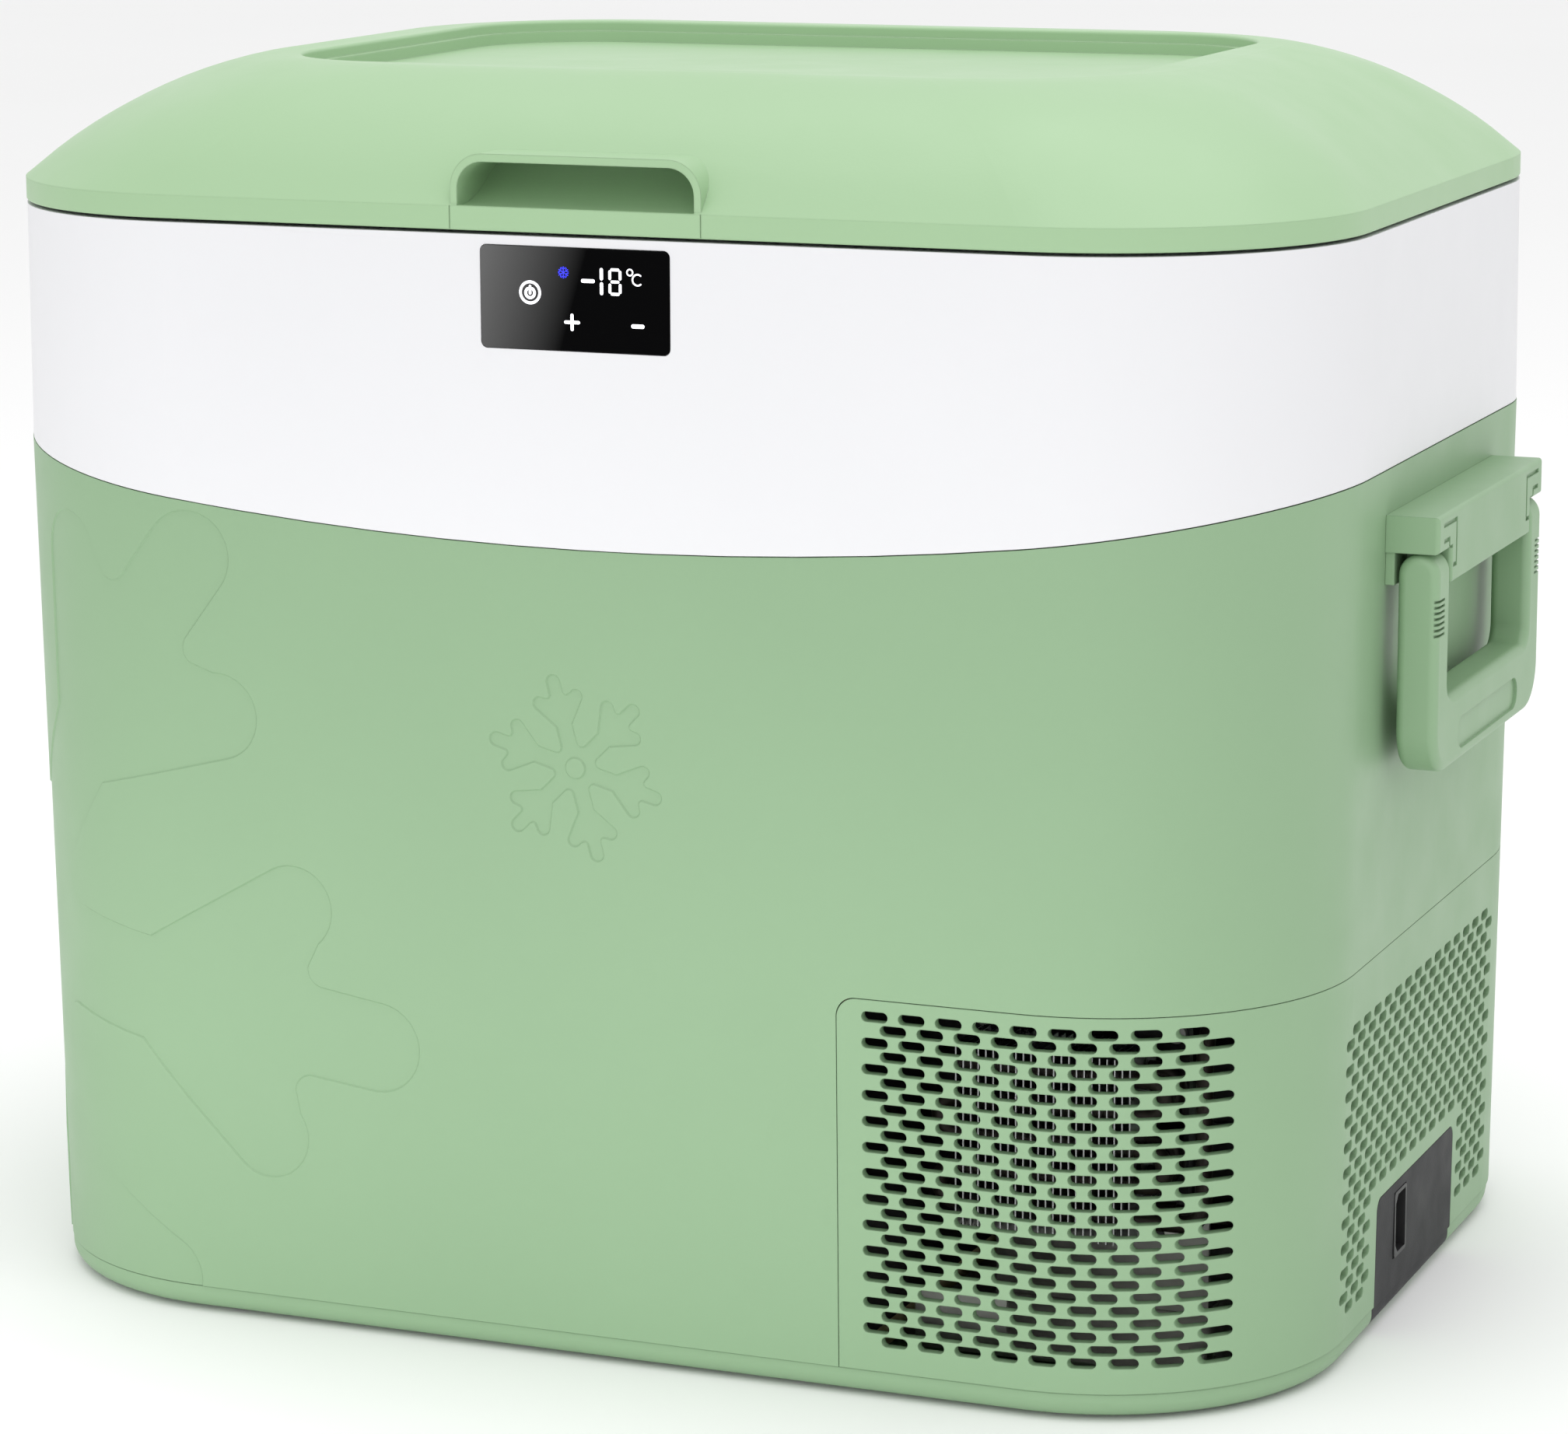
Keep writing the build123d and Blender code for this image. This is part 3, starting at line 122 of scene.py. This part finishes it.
def mixed(tree, fac, first, second):
    """Colour between first and second; either may be a colour or another node's output."""
    mix = tree.nodes.new("ShaderNodeMix")
    mix.data_type = "RGBA"
    for name, value in (("A", first), ("B", second)):
        socket = [s for s in mix.inputs if s.name == name and s.type == "RGBA"][0]
        if isinstance(value, (tuple, list)):
            socket.default_value = (*value, 1.0)
        else:
            tree.links.new(value, socket)
    tree.links.new(fac, mix.inputs["Factor"])
    return [s for s in mix.outputs if s.type == "RGBA"][0]


def scaled(colour, factor):
    return tuple(min(1.0, channel * factor) for channel in colour)


def surface(
    name, colour, rough, metal=0.0, mottle=(9.0, 0.95), grain=(900.0, 0.12), edge=0.0, specular=0.5,
):
    """Moulded, cast or drawn surface: a slow change of shade, a fine grain, and softened edges.

    mottle is the scale and the darkest shade of the slow change, and grain is the scale and
    strength of the fine relief. edge is the radius of the softened edges, in metres."""
    material, tree, shader = new_material(name)
    place = tree.nodes.new("ShaderNodeTexCoord").outputs["Object"]
    slow = between(tree, noise(tree, place, mottle[0], 3.0), 0.0, 1.0)
    tint = mixed(tree, slow, scaled(colour, mottle[1]), colour)
    fine = noise(tree, place, grain[0], 2.0)
    uneven = noise(tree, place, mottle[0] * UNEVEN_SCALE, 4.0)
    bump = tree.nodes.new("ShaderNodeBump")
    bump.inputs["Strength"].default_value = grain[1]
    bump.inputs["Distance"].default_value = GRAIN_DEPTH
    tree.links.new(fine, bump.inputs["Height"])
    if edge:
        soft = tree.nodes.new("ShaderNodeBevel")
        soft.samples = EDGE_SAMPLES
        soft.inputs["Radius"].default_value = edge
        tree.links.new(soft.outputs["Normal"], bump.inputs["Normal"])
    tree.links.new(bump.outputs["Normal"], shader.inputs["Normal"])
    tree.links.new(tint, shader.inputs["Base Color"])
    worn = between(tree, uneven, rough - ROUGH_SPREAD, rough + ROUGH_SPREAD)
    tree.links.new(worn, shader.inputs["Roughness"])
    shader.inputs["Metallic"].default_value = metal
    shader.inputs["Specular IOR Level"].default_value = specular
    return material


SHELL = (0.246, 0.385, 0.226)
LID = (0.330, 0.500, 0.292)
BAND = (0.725, 0.725, 0.743)


def make_materials():
    return {
        "shell_green": surface("shell_green", SHELL, 0.46, edge=0.0006, mottle=(6.0, 0.965)),
        "shell_figures": surface("shell_figures", SHELL, 0.46, edge=0.00012, mottle=(6.0, 0.965)),
        "lid_green": surface("lid_green", LID, 0.42, edge=0.0008, mottle=(5.0, 0.97)),
        "band_white": surface(
            "band_white", BAND, 0.38, edge=0.0003, mottle=(7.0, 0.985), grain=(700.0, 0.05),
        ),
        "charcoal": surface(
            "charcoal", (0.020, 0.020, 0.022), 0.55, edge=0.0004, grain=(1600.0, 0.35), specular=0.22,
        ),
        "liner_grey": surface("liner_grey", (0.60, 0.62, 0.63), 0.36, edge=0.0006, grain=(700.0, 0.05)),
        "black_plastic": surface("black_plastic", (0.014, 0.014, 0.015), 0.42, edge=0.0003),
        "foam_cream": surface("foam_cream", (0.74, 0.63, 0.38), 0.9, grain=(420.0, 0.9)),
        "rubber_black": surface("rubber_black", (0.018, 0.018, 0.018), 0.75, grain=(1500.0, 0.4)),
        "gasket_grey": surface("gasket_grey", (0.22, 0.23, 0.23), 0.6, grain=(1200.0, 0.2)),
        "compressor_black": surface("compressor_black", (0.013, 0.013, 0.014), 0.32, grain=(350.0, 0.15)),
        "zinc_steel": surface(
            "zinc_steel", (0.56, 0.56, 0.53), 0.38, 1.0, (30.0, 0.8), (1100.0, 0.1), 0.0003,
        ),
        "bright_steel": surface(
            "bright_steel", (0.62, 0.62, 0.62), 0.2, 1.0, (40.0, 0.9), (1500.0, 0.05), 0.0003,
        ),
        "fin_aluminium": surface("fin_aluminium", (0.74, 0.75, 0.76), 0.3, 1.0, (20.0, 0.85), (600.0, 0.08)),
        # the copper tubes are coloured near black: painted shade for the dark inside seen through the vent
        # slots
        "copper": surface("copper", (0.045, 0.035, 0.03), 0.4, 0.6, (60.0, 0.7), (900.0, 0.08)),
        "contact_brass": surface(
            "contact_brass", (0.80, 0.74, 0.58), 0.2, 1.0, (200.0, 0.85), (2000.0, 0.05), 0.0003,
        ),
        "board_green": surface(
            "board_green", (0.02, 0.11, 0.04), 0.4, mottle=(300.0, 0.6), grain=(800.0, 0.3),
        ),
        "cable_black": surface("cable_black", (0.015, 0.015, 0.015), 0.5),
        "lamp_white": surface("lamp_white", (0.86, 0.87, 0.89), 0.2, grain=(2200.0, 0.3)),
        "basket_white": surface("basket_white", (0.80, 0.81, 0.81), 0.36, edge=0.0006),
        "display_black": display_glass(),
    }


REFLECTION_ALONG = (-0.96, 0.0, 0.28)             # direction in which the painted reflection turns the glass grey
REFLECTION_START, REFLECTION_STOP = 0.106, 0.147        # where the painted reflection starts and stops along it, in metres
# near black of the glass, and the grey of the painted reflection
FILM_DARK, PAINTED_REFLECTION_GREY = (0.0015, 0.0015, 0.0017), (0.130, 0.130, 0.130)


def display_glass():
    """Black glass that turns smoke grey towards its top left corner: a painted reflection of a lamp in the
    glass.
    """
    material, tree, shader = new_material("display_black")
    place = tree.nodes.new("ShaderNodeTexCoord").outputs["Object"]
    turned = tree.nodes.new("ShaderNodeVectorMath")
    turned.operation = "DOT_PRODUCT"
    turned.inputs[1].default_value = REFLECTION_ALONG
    tree.links.new(place, turned.inputs[0])
    # painted reflection: grey that grows towards the glass's top left corner
    painted_reflection = between(tree, turned.outputs["Value"], 0.0, 1.0, REFLECTION_START, REFLECTION_STOP)
    tone = mixed(tree, painted_reflection, FILM_DARK, PAINTED_REFLECTION_GREY)
    cloud = noise(tree, place, 60.0, 3.0)
    tree.links.new(tone, shader.inputs["Base Color"])
    tree.links.new(between(tree, cloud, 0.07, 0.11), shader.inputs["Roughness"])
    shader.inputs["Specular IOR Level"].default_value = 0.02
    return material


def lit(name, colour, strength):
    """Lit mark under the display glass, a little uneven like a diffused lamp."""
    material, tree, shader = new_material(name)
    place = tree.nodes.new("ShaderNodeTexCoord").outputs["Object"]
    glow = mixed(tree, noise(tree, place, 900.0, 2.0), scaled(colour, 0.9), colour)
    tree.links.new(glow, shader.inputs["Base Color"])
    tree.links.new(glow, shader.inputs["Emission Color"])
    shader.inputs["Emission Strength"].default_value = strength
    shader.inputs["Roughness"].default_value = 0.4
    return material


# ---- mesh helpers ----

def piece(name, mesh, material, body):
    """Object for a finished mesh, riding on a body."""
    mesh.materials.append(material)
    obj = bpy.data.objects.new(name, mesh)
    bpy.context.scene.collection.objects.link(obj)
    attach(obj, body)
    return obj


def arc(centre, radius, start, stop, steps):
    """Points along a circle, angles in degrees."""
    points = []
    for count in range(steps + 1):
        angle = radians(start + (stop - start) * count / steps)
        points.append((centre[0] + radius * cos(angle), centre[1] + radius * sin(angle)))
    return points


def prism(bm, outline, place, low, high, hole=None):
    """Closed solid between two heights over a flat outline, with an optional hole.

    place(a, b, height) gives the point."""
    loops = [outline] + ([hole] if hole else [])
    rings = []
    for loop in loops:
        bottom = [bm.verts.new(place(a, b, low)) for a, b in loop]
        top = [bm.verts.new(place(a, b, high)) for a, b in loop]
        rings.append((bottom, top))
        for count in range(len(loop)):
            after = (count + 1) % len(loop)
            bm.faces.new((bottom[count], bottom[after], top[after], top[count]))
    flat = [[Vector((a, b, 0.0)) for a, b in loop] for loop in loops]
    all_bottom = [vert for ring in rings for vert in ring[0]]
    all_top = [vert for ring in rings for vert in ring[1]]
    for triangle in tessellate_polygon(flat):
        bm.faces.new([all_bottom[index] for index in triangle])
        bm.faces.new([all_top[index] for index in triangle])


def finished(bm, name):
    """Mesh of a bmesh whose faces all look outwards."""
    bmesh.ops.recalc_face_normals(bm, faces=bm.faces)
    mesh = bpy.data.meshes.new(name)
    bm.to_mesh(mesh)
    bm.free()
    return mesh


# ---- display marks ----

glass_low, glass_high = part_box("display_glass")
GLASS_MIDDLE_Z = (glass_low.z + glass_high.z) / 2
GLASS_FRONT_Y = glass_low.y
MARK_T = 0.00005                            # thickness of a mark in front of the glass, in metres
END_STEPS, BEND_STEPS, RING_STEPS = 8, 40, 48


def on_glass(a, b, height):
    """Point on the display: a mm to the right of its middle, b mm above it."""
    return (a * MM, GLASS_FRONT_Y + MARK_T - height, GLASS_MIDDLE_Z + b * MM)


def bar(start, stop, width):
    """Outline of a straight stroke with round ends."""
    heading = atan2(stop[1] - start[1], stop[0] - start[0]) * 180 / pi
    far = arc(stop, width / 2, heading - 90, heading + 90, END_STEPS)
    near = arc(start, width / 2, heading + 90, heading + 270, END_STEPS)
    return far + near


def open_ring(centre, radius, width, start, stop):
    """Outline of a curved stroke with round ends."""
    outer = arc(centre, radius + width / 2, start, stop, BEND_STEPS)
    inner = arc(centre, radius - width / 2, stop, start, BEND_STEPS)
    ends = []
    for angle, turn in ((stop, 0), (start, 180)):
        middle = (centre[0] + radius * cos(radians(angle)), centre[1] + radius * sin(radians(angle)))
        ends.append(arc(middle, width / 2, angle + turn, angle + turn + 180, END_STEPS)[1:-1])
    return outer + ends[0] + inner + ends[1]


def marks(name, outlines, material, rings=()):
    """One piece of flat marks on the glass. A ring is its centre, radius and width."""
    bm = bmesh.new()
    for outline in outlines:
        prism(bm, outline, on_glass, 0.0, 2 * MARK_T)
    for centre, radius, width in rings:
        outer = arc(centre, radius + width / 2, 0, 360, RING_STEPS)[:-1]
        inner = arc(centre, radius - width / 2, 0, 360, RING_STEPS)[:-1]
        prism(bm, outer, on_glass, 0.0, 2 * MARK_T, inner)
    piece(name, finished(bm, name), material, "cabinet")


ONE_X, MINUS_KEY_Z = 10.2, -8.1
LEFT_X, RIGHT_X = 13.3, 17.1                # uprights of the eight
HIGH_Z, MIDDLE_Z, LOW_Z = 10.75, 6.65, 2.5  # bars of the eight
SEGMENT_W = 1.0
POWER_X = -16.4
PLUS_X, PLUS_Z, PLUS_W = -0.9, -7.7, 1.15
COLD_X, COLD_Z = -3.9, 9.15
COLD_LEAN = 0.42                            # radians from an arm to the tip of its twig


def make_display_marks():
    """Reading, power, plus, minus and cold marks, in mm from the middle of the glass."""
    white = lit("mark_white", (0.95, 0.95, 1.0), 1.0)
    blue = lit("mark_blue", (0.03, 0.035, 0.95), 1.1)
    one = [bar((ONE_X, 7.6), (ONE_X, 10.6), 1.2), bar((ONE_X, 2.6), (ONE_X, 5.8), 1.2)]
    eight = [
        bar((LEFT_X + 0.75, HIGH_Z), (RIGHT_X - 0.75, HIGH_Z), SEGMENT_W),
        bar((LEFT_X + 0.75, MIDDLE_Z), (RIGHT_X - 0.75, MIDDLE_Z), 0.95),
        bar((LEFT_X + 0.75, LOW_Z), (RIGHT_X - 0.75, LOW_Z), SEGMENT_W),
    ]
    for x in (LEFT_X, RIGHT_X):
        eight.append(bar((x, 7.75), (x, 10.05), SEGMENT_W))
        eight.append(bar((x, 3.2), (x, 5.55), SEGMENT_W))
    sign = [bar((3.3, 6.6), (7.1, 6.6), 1.3)]
    letter = [open_ring((23.5, 7.6), 1.85, 0.55, 52, 308)]
    degree = [((20.7, 10.05), 1.05, 0.48)]
    marks("display_reading", one + eight + sign + letter, white, degree)
    power = [open_ring((POWER_X, 1.75), 1.65, 1.0, 122, 418), bar((POWER_X, 1.6), (POWER_X, 4.0), 0.95)]
    marks("display_power_mark", power, white, [((POWER_X, 1.9), 3.6, 0.95)])
    plus = [
        bar((-3.3, PLUS_Z), (-1.45, PLUS_Z), PLUS_W),
        bar((-0.35, PLUS_Z), (1.5, PLUS_Z), PLUS_W),
        bar((PLUS_X, -10.1), (PLUS_X, -5.3), PLUS_W),
    ]
    marks("display_plus_mark", plus, white)
    marks("display_minus_mark", [bar((21.7, MINUS_KEY_Z), (25.2, MINUS_KEY_Z), 1.4)], white)
    flake = [arc((COLD_X, COLD_Z), 0.42, 0, 360, 12)[:-1]]
    for count in range(6):
        angle = radians(90 + 60 * count)
        start = (COLD_X + 0.62 * cos(angle), COLD_Z + 0.62 * sin(angle))
        stop = (COLD_X + 1.9 * cos(angle), COLD_Z + 1.9 * sin(angle))
        flake.append(bar(start, stop, 0.28))
        for lean in (-COLD_LEAN, COLD_LEAN):
            tip = (COLD_X + 1.85 * cos(angle + lean), COLD_Z + 1.85 * sin(angle + lean))
            root = (COLD_X + 1.32 * cos(angle + lean * 0.62), COLD_Z + 1.32 * sin(angle + lean * 0.62))
            flake.append(bar(root, tip, 0.24))
    marks("display_cold_mark", flake, blue)


# ---- sunk snowflakes in the shell ----

# The shell's outline and lean, as in the CAD model.
OUTLINE_X, OUTLINE_Y = 158.7, 96.3          # centres of the corner arcs
OUTLINE_R, OUTLINE_Z = 90.0, 10.0           # corner radius at the height OUTLINE_Z
LEAN = 3.8 / 306.5
BODY_SHIFT_Y = -5.95
MERGE = 0.000002                            # points closer than this become one, in metres
CHORD = 0.16                                # how far the mesh may lie inside the true curve
UNROLL_R = 92.3                             # radius at which the corner is unrolled
RELIEF = 0.55                               # depth of the sunk figures, and width of their sloped edge
BEND_STEP = radians(3)                      # turn between two cuts where a figure goes round the corner
SHARPEST = 0.5                              # keeps a grown outline's sharp points from running away
FLAKE_REACH = 204                           # centre to tip of the snowflake as it is drawn
SMALL_CENTRE, SMALL_REACH, SMALL_TURN = (-2.6, 215.8), 33.8, 104.5
ISLAND_R = 3.4                              # raised spot in the middle of the small snowflake
LARGE_CENTRE, LARGE_REACH, LARGE_TURN = (-267.0, 134.0), 204.0, -8.0


def wall_point(along, height, out):
    """Point on the shell: along its outline from the front centre, height, and out from the wall.

    Along is positive to the right."""
    reach = OUTLINE_R + LEAN * (height - OUTLINE_Z) + out
    distance, side = abs(along), 1 if along >= 0 else -1
    quarter = UNROLL_R * pi / 2
    if distance <= OUTLINE_X:
        x, y = distance, -OUTLINE_Y - reach
    elif distance <= OUTLINE_X + quarter:
        angle = (distance - OUTLINE_X) / UNROLL_R
        x, y = OUTLINE_X + reach * sin(angle), -OUTLINE_Y - reach * cos(angle)
    else:
        x, y = OUTLINE_X + reach, -OUTLINE_Y + distance - OUTLINE_X - quarter
    return Vector((side * x * MM, (y + BODY_SHIFT_Y) * MM, height * MM))


def wall_normal(point):
    """Outward direction of the shell's leaning wall next to a point."""
    x, y = point.x / MM, point.y / MM - BODY_SHIFT_Y
    near_x, near_y = max(-OUTLINE_X, min(OUTLINE_X, x)), max(-OUTLINE_Y, min(OUTLINE_Y, y))
    return Vector((x - near_x, y - near_y, 0.0)).normalized() + Vector((0.0, 0.0, -LEAN))


def wall_depth(point):
    """How far a point lies inside the shell's leaning wall, in mm."""
    x, y = point.x / MM, point.y / MM - BODY_SHIFT_Y
    near_x, near_y = max(-OUTLINE_X, min(OUTLINE_X, x)), max(-OUTLINE_Y, min(OUTLINE_Y, y))
    reach = OUTLINE_R + LEAN * (point.z / MM - OUTLINE_Z)
    return reach - Vector((x - near_x, y - near_y)).length


def snowflake(steps):
    """Outline of a snowflake with six three-lobed arms."""
    half = arc((187, 0), 16.7, 0, 90, steps)
    half += arc((163, 23.2), 6.2, 270, 180, steps // 2)
    half += arc((148, 43), 16, -42, 127, steps)
    half += [(92, 20)]
    half += arc((52, 30), 10, 270, 210, steps // 2)[:-1]
    arm = [(a, -b) for a, b in reversed(half[1:])] + half
    outline = []
    for count in range(6):
        turn = radians(60 * count)
        outline += [(a * cos(turn) - b * sin(turn), a * sin(turn) + b * cos(turn)) for a, b in arm]
        notch = radians(60 * count + 30)
        outline.append((50 * cos(notch), 50 * sin(notch)))
    return outline


def placed(outline, centre, reach, turn):
    """The drawn snowflake, moved, scaled and turned."""
    angle, share = radians(turn), reach / FLAKE_REACH
    return [
        (
            centre[0] + share * (a * cos(angle) - b * sin(angle)),
            centre[1] + share * (a * sin(angle) + b * cos(angle)),
        )
        for a, b in outline
    ]


def grown(outline, distance):
    """Outline moved outwards by a distance, along the mean of each point's two sides."""
    moved = []
    for count, (a, b) in enumerate(outline):
        before, after = outline[count - 1], outline[(count + 1) % len(outline)]
        first = Vector((b - before[1], before[0] - a)).normalized()
        second = Vector((after[1] - b, a - after[0])).normalized()
        middle = (first + second).normalized()
        reach = distance / max(SHARPEST, middle.dot(first))
        moved.append((a + middle.x * reach, b + middle.y * reach))
    return moved


def figure_tool(name, outline, island):
    """Closed cutter for one sunk figure. Its sides slope, and it follows the wall."""
    bm = bmesh.new()
    loops = [(outline, 1)] + ([(island, -1)] if island else [])
    sides = []
    for out in (RELIEF, -RELIEF):
        moved = [grown(loop, way * out) for loop, way in loops]
        verts = [[bm.verts.new((a, b, out)) for a, b in loop] for loop in moved]
        every = [vert for loop in verts for vert in loop]
        flat = [[Vector((a, b, 0.0)) for a, b in loop] for loop in moved]
        for triangle in tessellate_polygon(flat):
            bm.faces.new([every[index] for index in triangle])
        sides.append(verts)
    for top, bottom in zip(*sides):
        for count in range(len(top)):
            after = (count + 1) % len(top)
            bm.faces.new((bottom[count], bottom[after], top[after], top[count]))
    reach = min(vert.co.x for vert in bm.verts)
    step = UNROLL_R * BEND_STEP
    cut = -OUTLINE_X
    while cut > reach and cut > -OUTLINE_X - UNROLL_R * pi / 2 - 1:
        everything = bm.verts[:] + bm.edges[:] + bm.faces[:]
        bmesh.ops.bisect_plane(bm, geom=everything, plane_co=(cut, 0, 0), plane_no=(1, 0, 0))
        cut -= step
    for vert in bm.verts:
        vert.co = wall_point(*vert.co)
    bmesh.ops.triangulate(bm, faces=bm.faces)
    tool = bpy.data.objects.new(name, finished(bm, name))
    bpy.context.scene.collection.objects.link(tool)
    return tool


def make_shell(material):
    """The shell with two sunk snowflakes, a small one in front and a large one round the left corner."""
    small = placed(snowflake(12), SMALL_CENTRE, SMALL_REACH, SMALL_TURN)
    island = arc(SMALL_CENTRE, ISLAND_R, 0, 360, 36)[:-1]
    large = placed(snowflake(20), LARGE_CENTRE, LARGE_REACH, LARGE_TURN)
    tools = [
        figure_tool("small_tool", small, island),
        figure_tool("large_tool", large, None),
    ]
    carrier = bpy.data.objects.new("carrier", nodes["lower_shell"].data.copy())
    bpy.context.scene.collection.objects.link(carrier)
    for tool in tools:
        cut = carrier.modifiers.new(tool.name, "BOOLEAN")
        cut.operation = "DIFFERENCE"
        cut.solver = "EXACT"
        cut.object = tool
    bpy.context.view_layer.update()
    mesh = bpy.data.meshes.new_from_object(carrier.evaluated_get(bpy.context.evaluated_depsgraph_get()))
    for tool in (*tools, carrier):
        bpy.data.objects.remove(tool)
    bm = bmesh.new()
    bm.from_mesh(mesh)
    bmesh.ops.remove_doubles(bm, verts=bm.verts, dist=MERGE)
    bmesh.ops.triangulate(bm, faces=bm.faces)
    bmesh.ops.dissolve_degenerate(bm, dist=MERGE, edges=bm.edges)
    bmesh.ops.triangulate(bm, faces=bm.faces)
    bm.to_mesh(mesh)
    bm.free()
    mesh.materials.clear()
    mesh.name = "shell_with_figures"
    mesh.shade_smooth()
    normals = [Vector((0.0, 0.0, 1.0))] * len(mesh.loops)
    for face in mesh.polygons:
        depths = [wall_depth(mesh.vertices[index].co) for index in face.vertices]
        on_floor = min(depths) > RELIEF - CHORD and max(depths) < RELIEF + CHORD
        on_wall = max(depths) < CHORD or on_floor
        for loop in face.loop_indices:
            point = mesh.vertices[mesh.loops[loop].vertex_index].co
            normals[loop] = wall_normal(point).normalized() if on_wall else face.normal.copy()
    mesh.normals_split_custom_set(normals)
    shell = piece("shell_with_figures", mesh, material, "cabinet")
    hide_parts("lower_shell")


# ---- studio ----

FLOOR_SIZE, FLOOR_Z = 80, -0.0002
SKY_STRENGTH = 0.98


def make_studio():
    bpy.ops.mesh.primitive_plane_add(size=FLOOR_SIZE, location=(0, 0, FLOOR_Z))
    floor = bpy.context.object
    floor.name = "floor"
    material, tree, shader = new_material("floor_white")
    place = tree.nodes.new("ShaderNodeTexCoord").outputs["Object"]
    tone = mixed(tree, noise(tree, place, 1.2), (0.90, 0.90, 0.90), (0.915, 0.915, 0.915))
    tree.links.new(tone, shader.inputs["Base Color"])
    shader.inputs["Roughness"].default_value = 0.8
    shader.inputs["Specular IOR Level"].default_value = 0.1
    floor.data.materials.append(material)
    world = bpy.data.worlds.new("world")
    world.use_nodes = True
    world.node_tree.nodes["Background"].inputs["Color"].default_value = (1.0, 1.0, 1.0, 1.0)
    world.node_tree.nodes["Background"].inputs["Strength"].default_value = SKY_STRENGTH
    bpy.context.scene.world = world
    lamps = [
        ("key", (0.9, -2.7, 2.4), (2.2, 2.2), 13.0, (0.0, 0.0, 0.25)),
        ("top", (0.2, 0.1, 2.4), (2.4, 2.0), 19.0, (0.0, 0.0, 0.25)),
        ("low", (-0.05, -0.50, 0.012), (1.1, 0.22), 1.2, (0.0, -0.18, 0.03)),
    ]
    for name, place, size, power, target in lamps:
        data = bpy.data.lights.new(name, "AREA")
        data.shape = "RECTANGLE"
        data.size, data.size_y = size
        data.energy = power
        lamp = bpy.data.objects.new(name, data)
        lamp.location = place
        aim = Vector(target) - Vector(place)
        lamp.rotation_euler = aim.to_track_quat("-Z", "Y").to_euler()
        lamp.visible_camera = False
        lamp.visible_glossy = name != "low"
        bpy.context.scene.collection.objects.link(lamp)
    bpy.context.scene.view_settings.view_transform = "Standard"


make_camera()
materials = make_materials()
for name, node in nodes.items():
    for holder in node.material_slots:
        holder.material = materials[slot_of[name]]
make_display_marks()
make_shell(materials["shell_figures"])
make_studio()
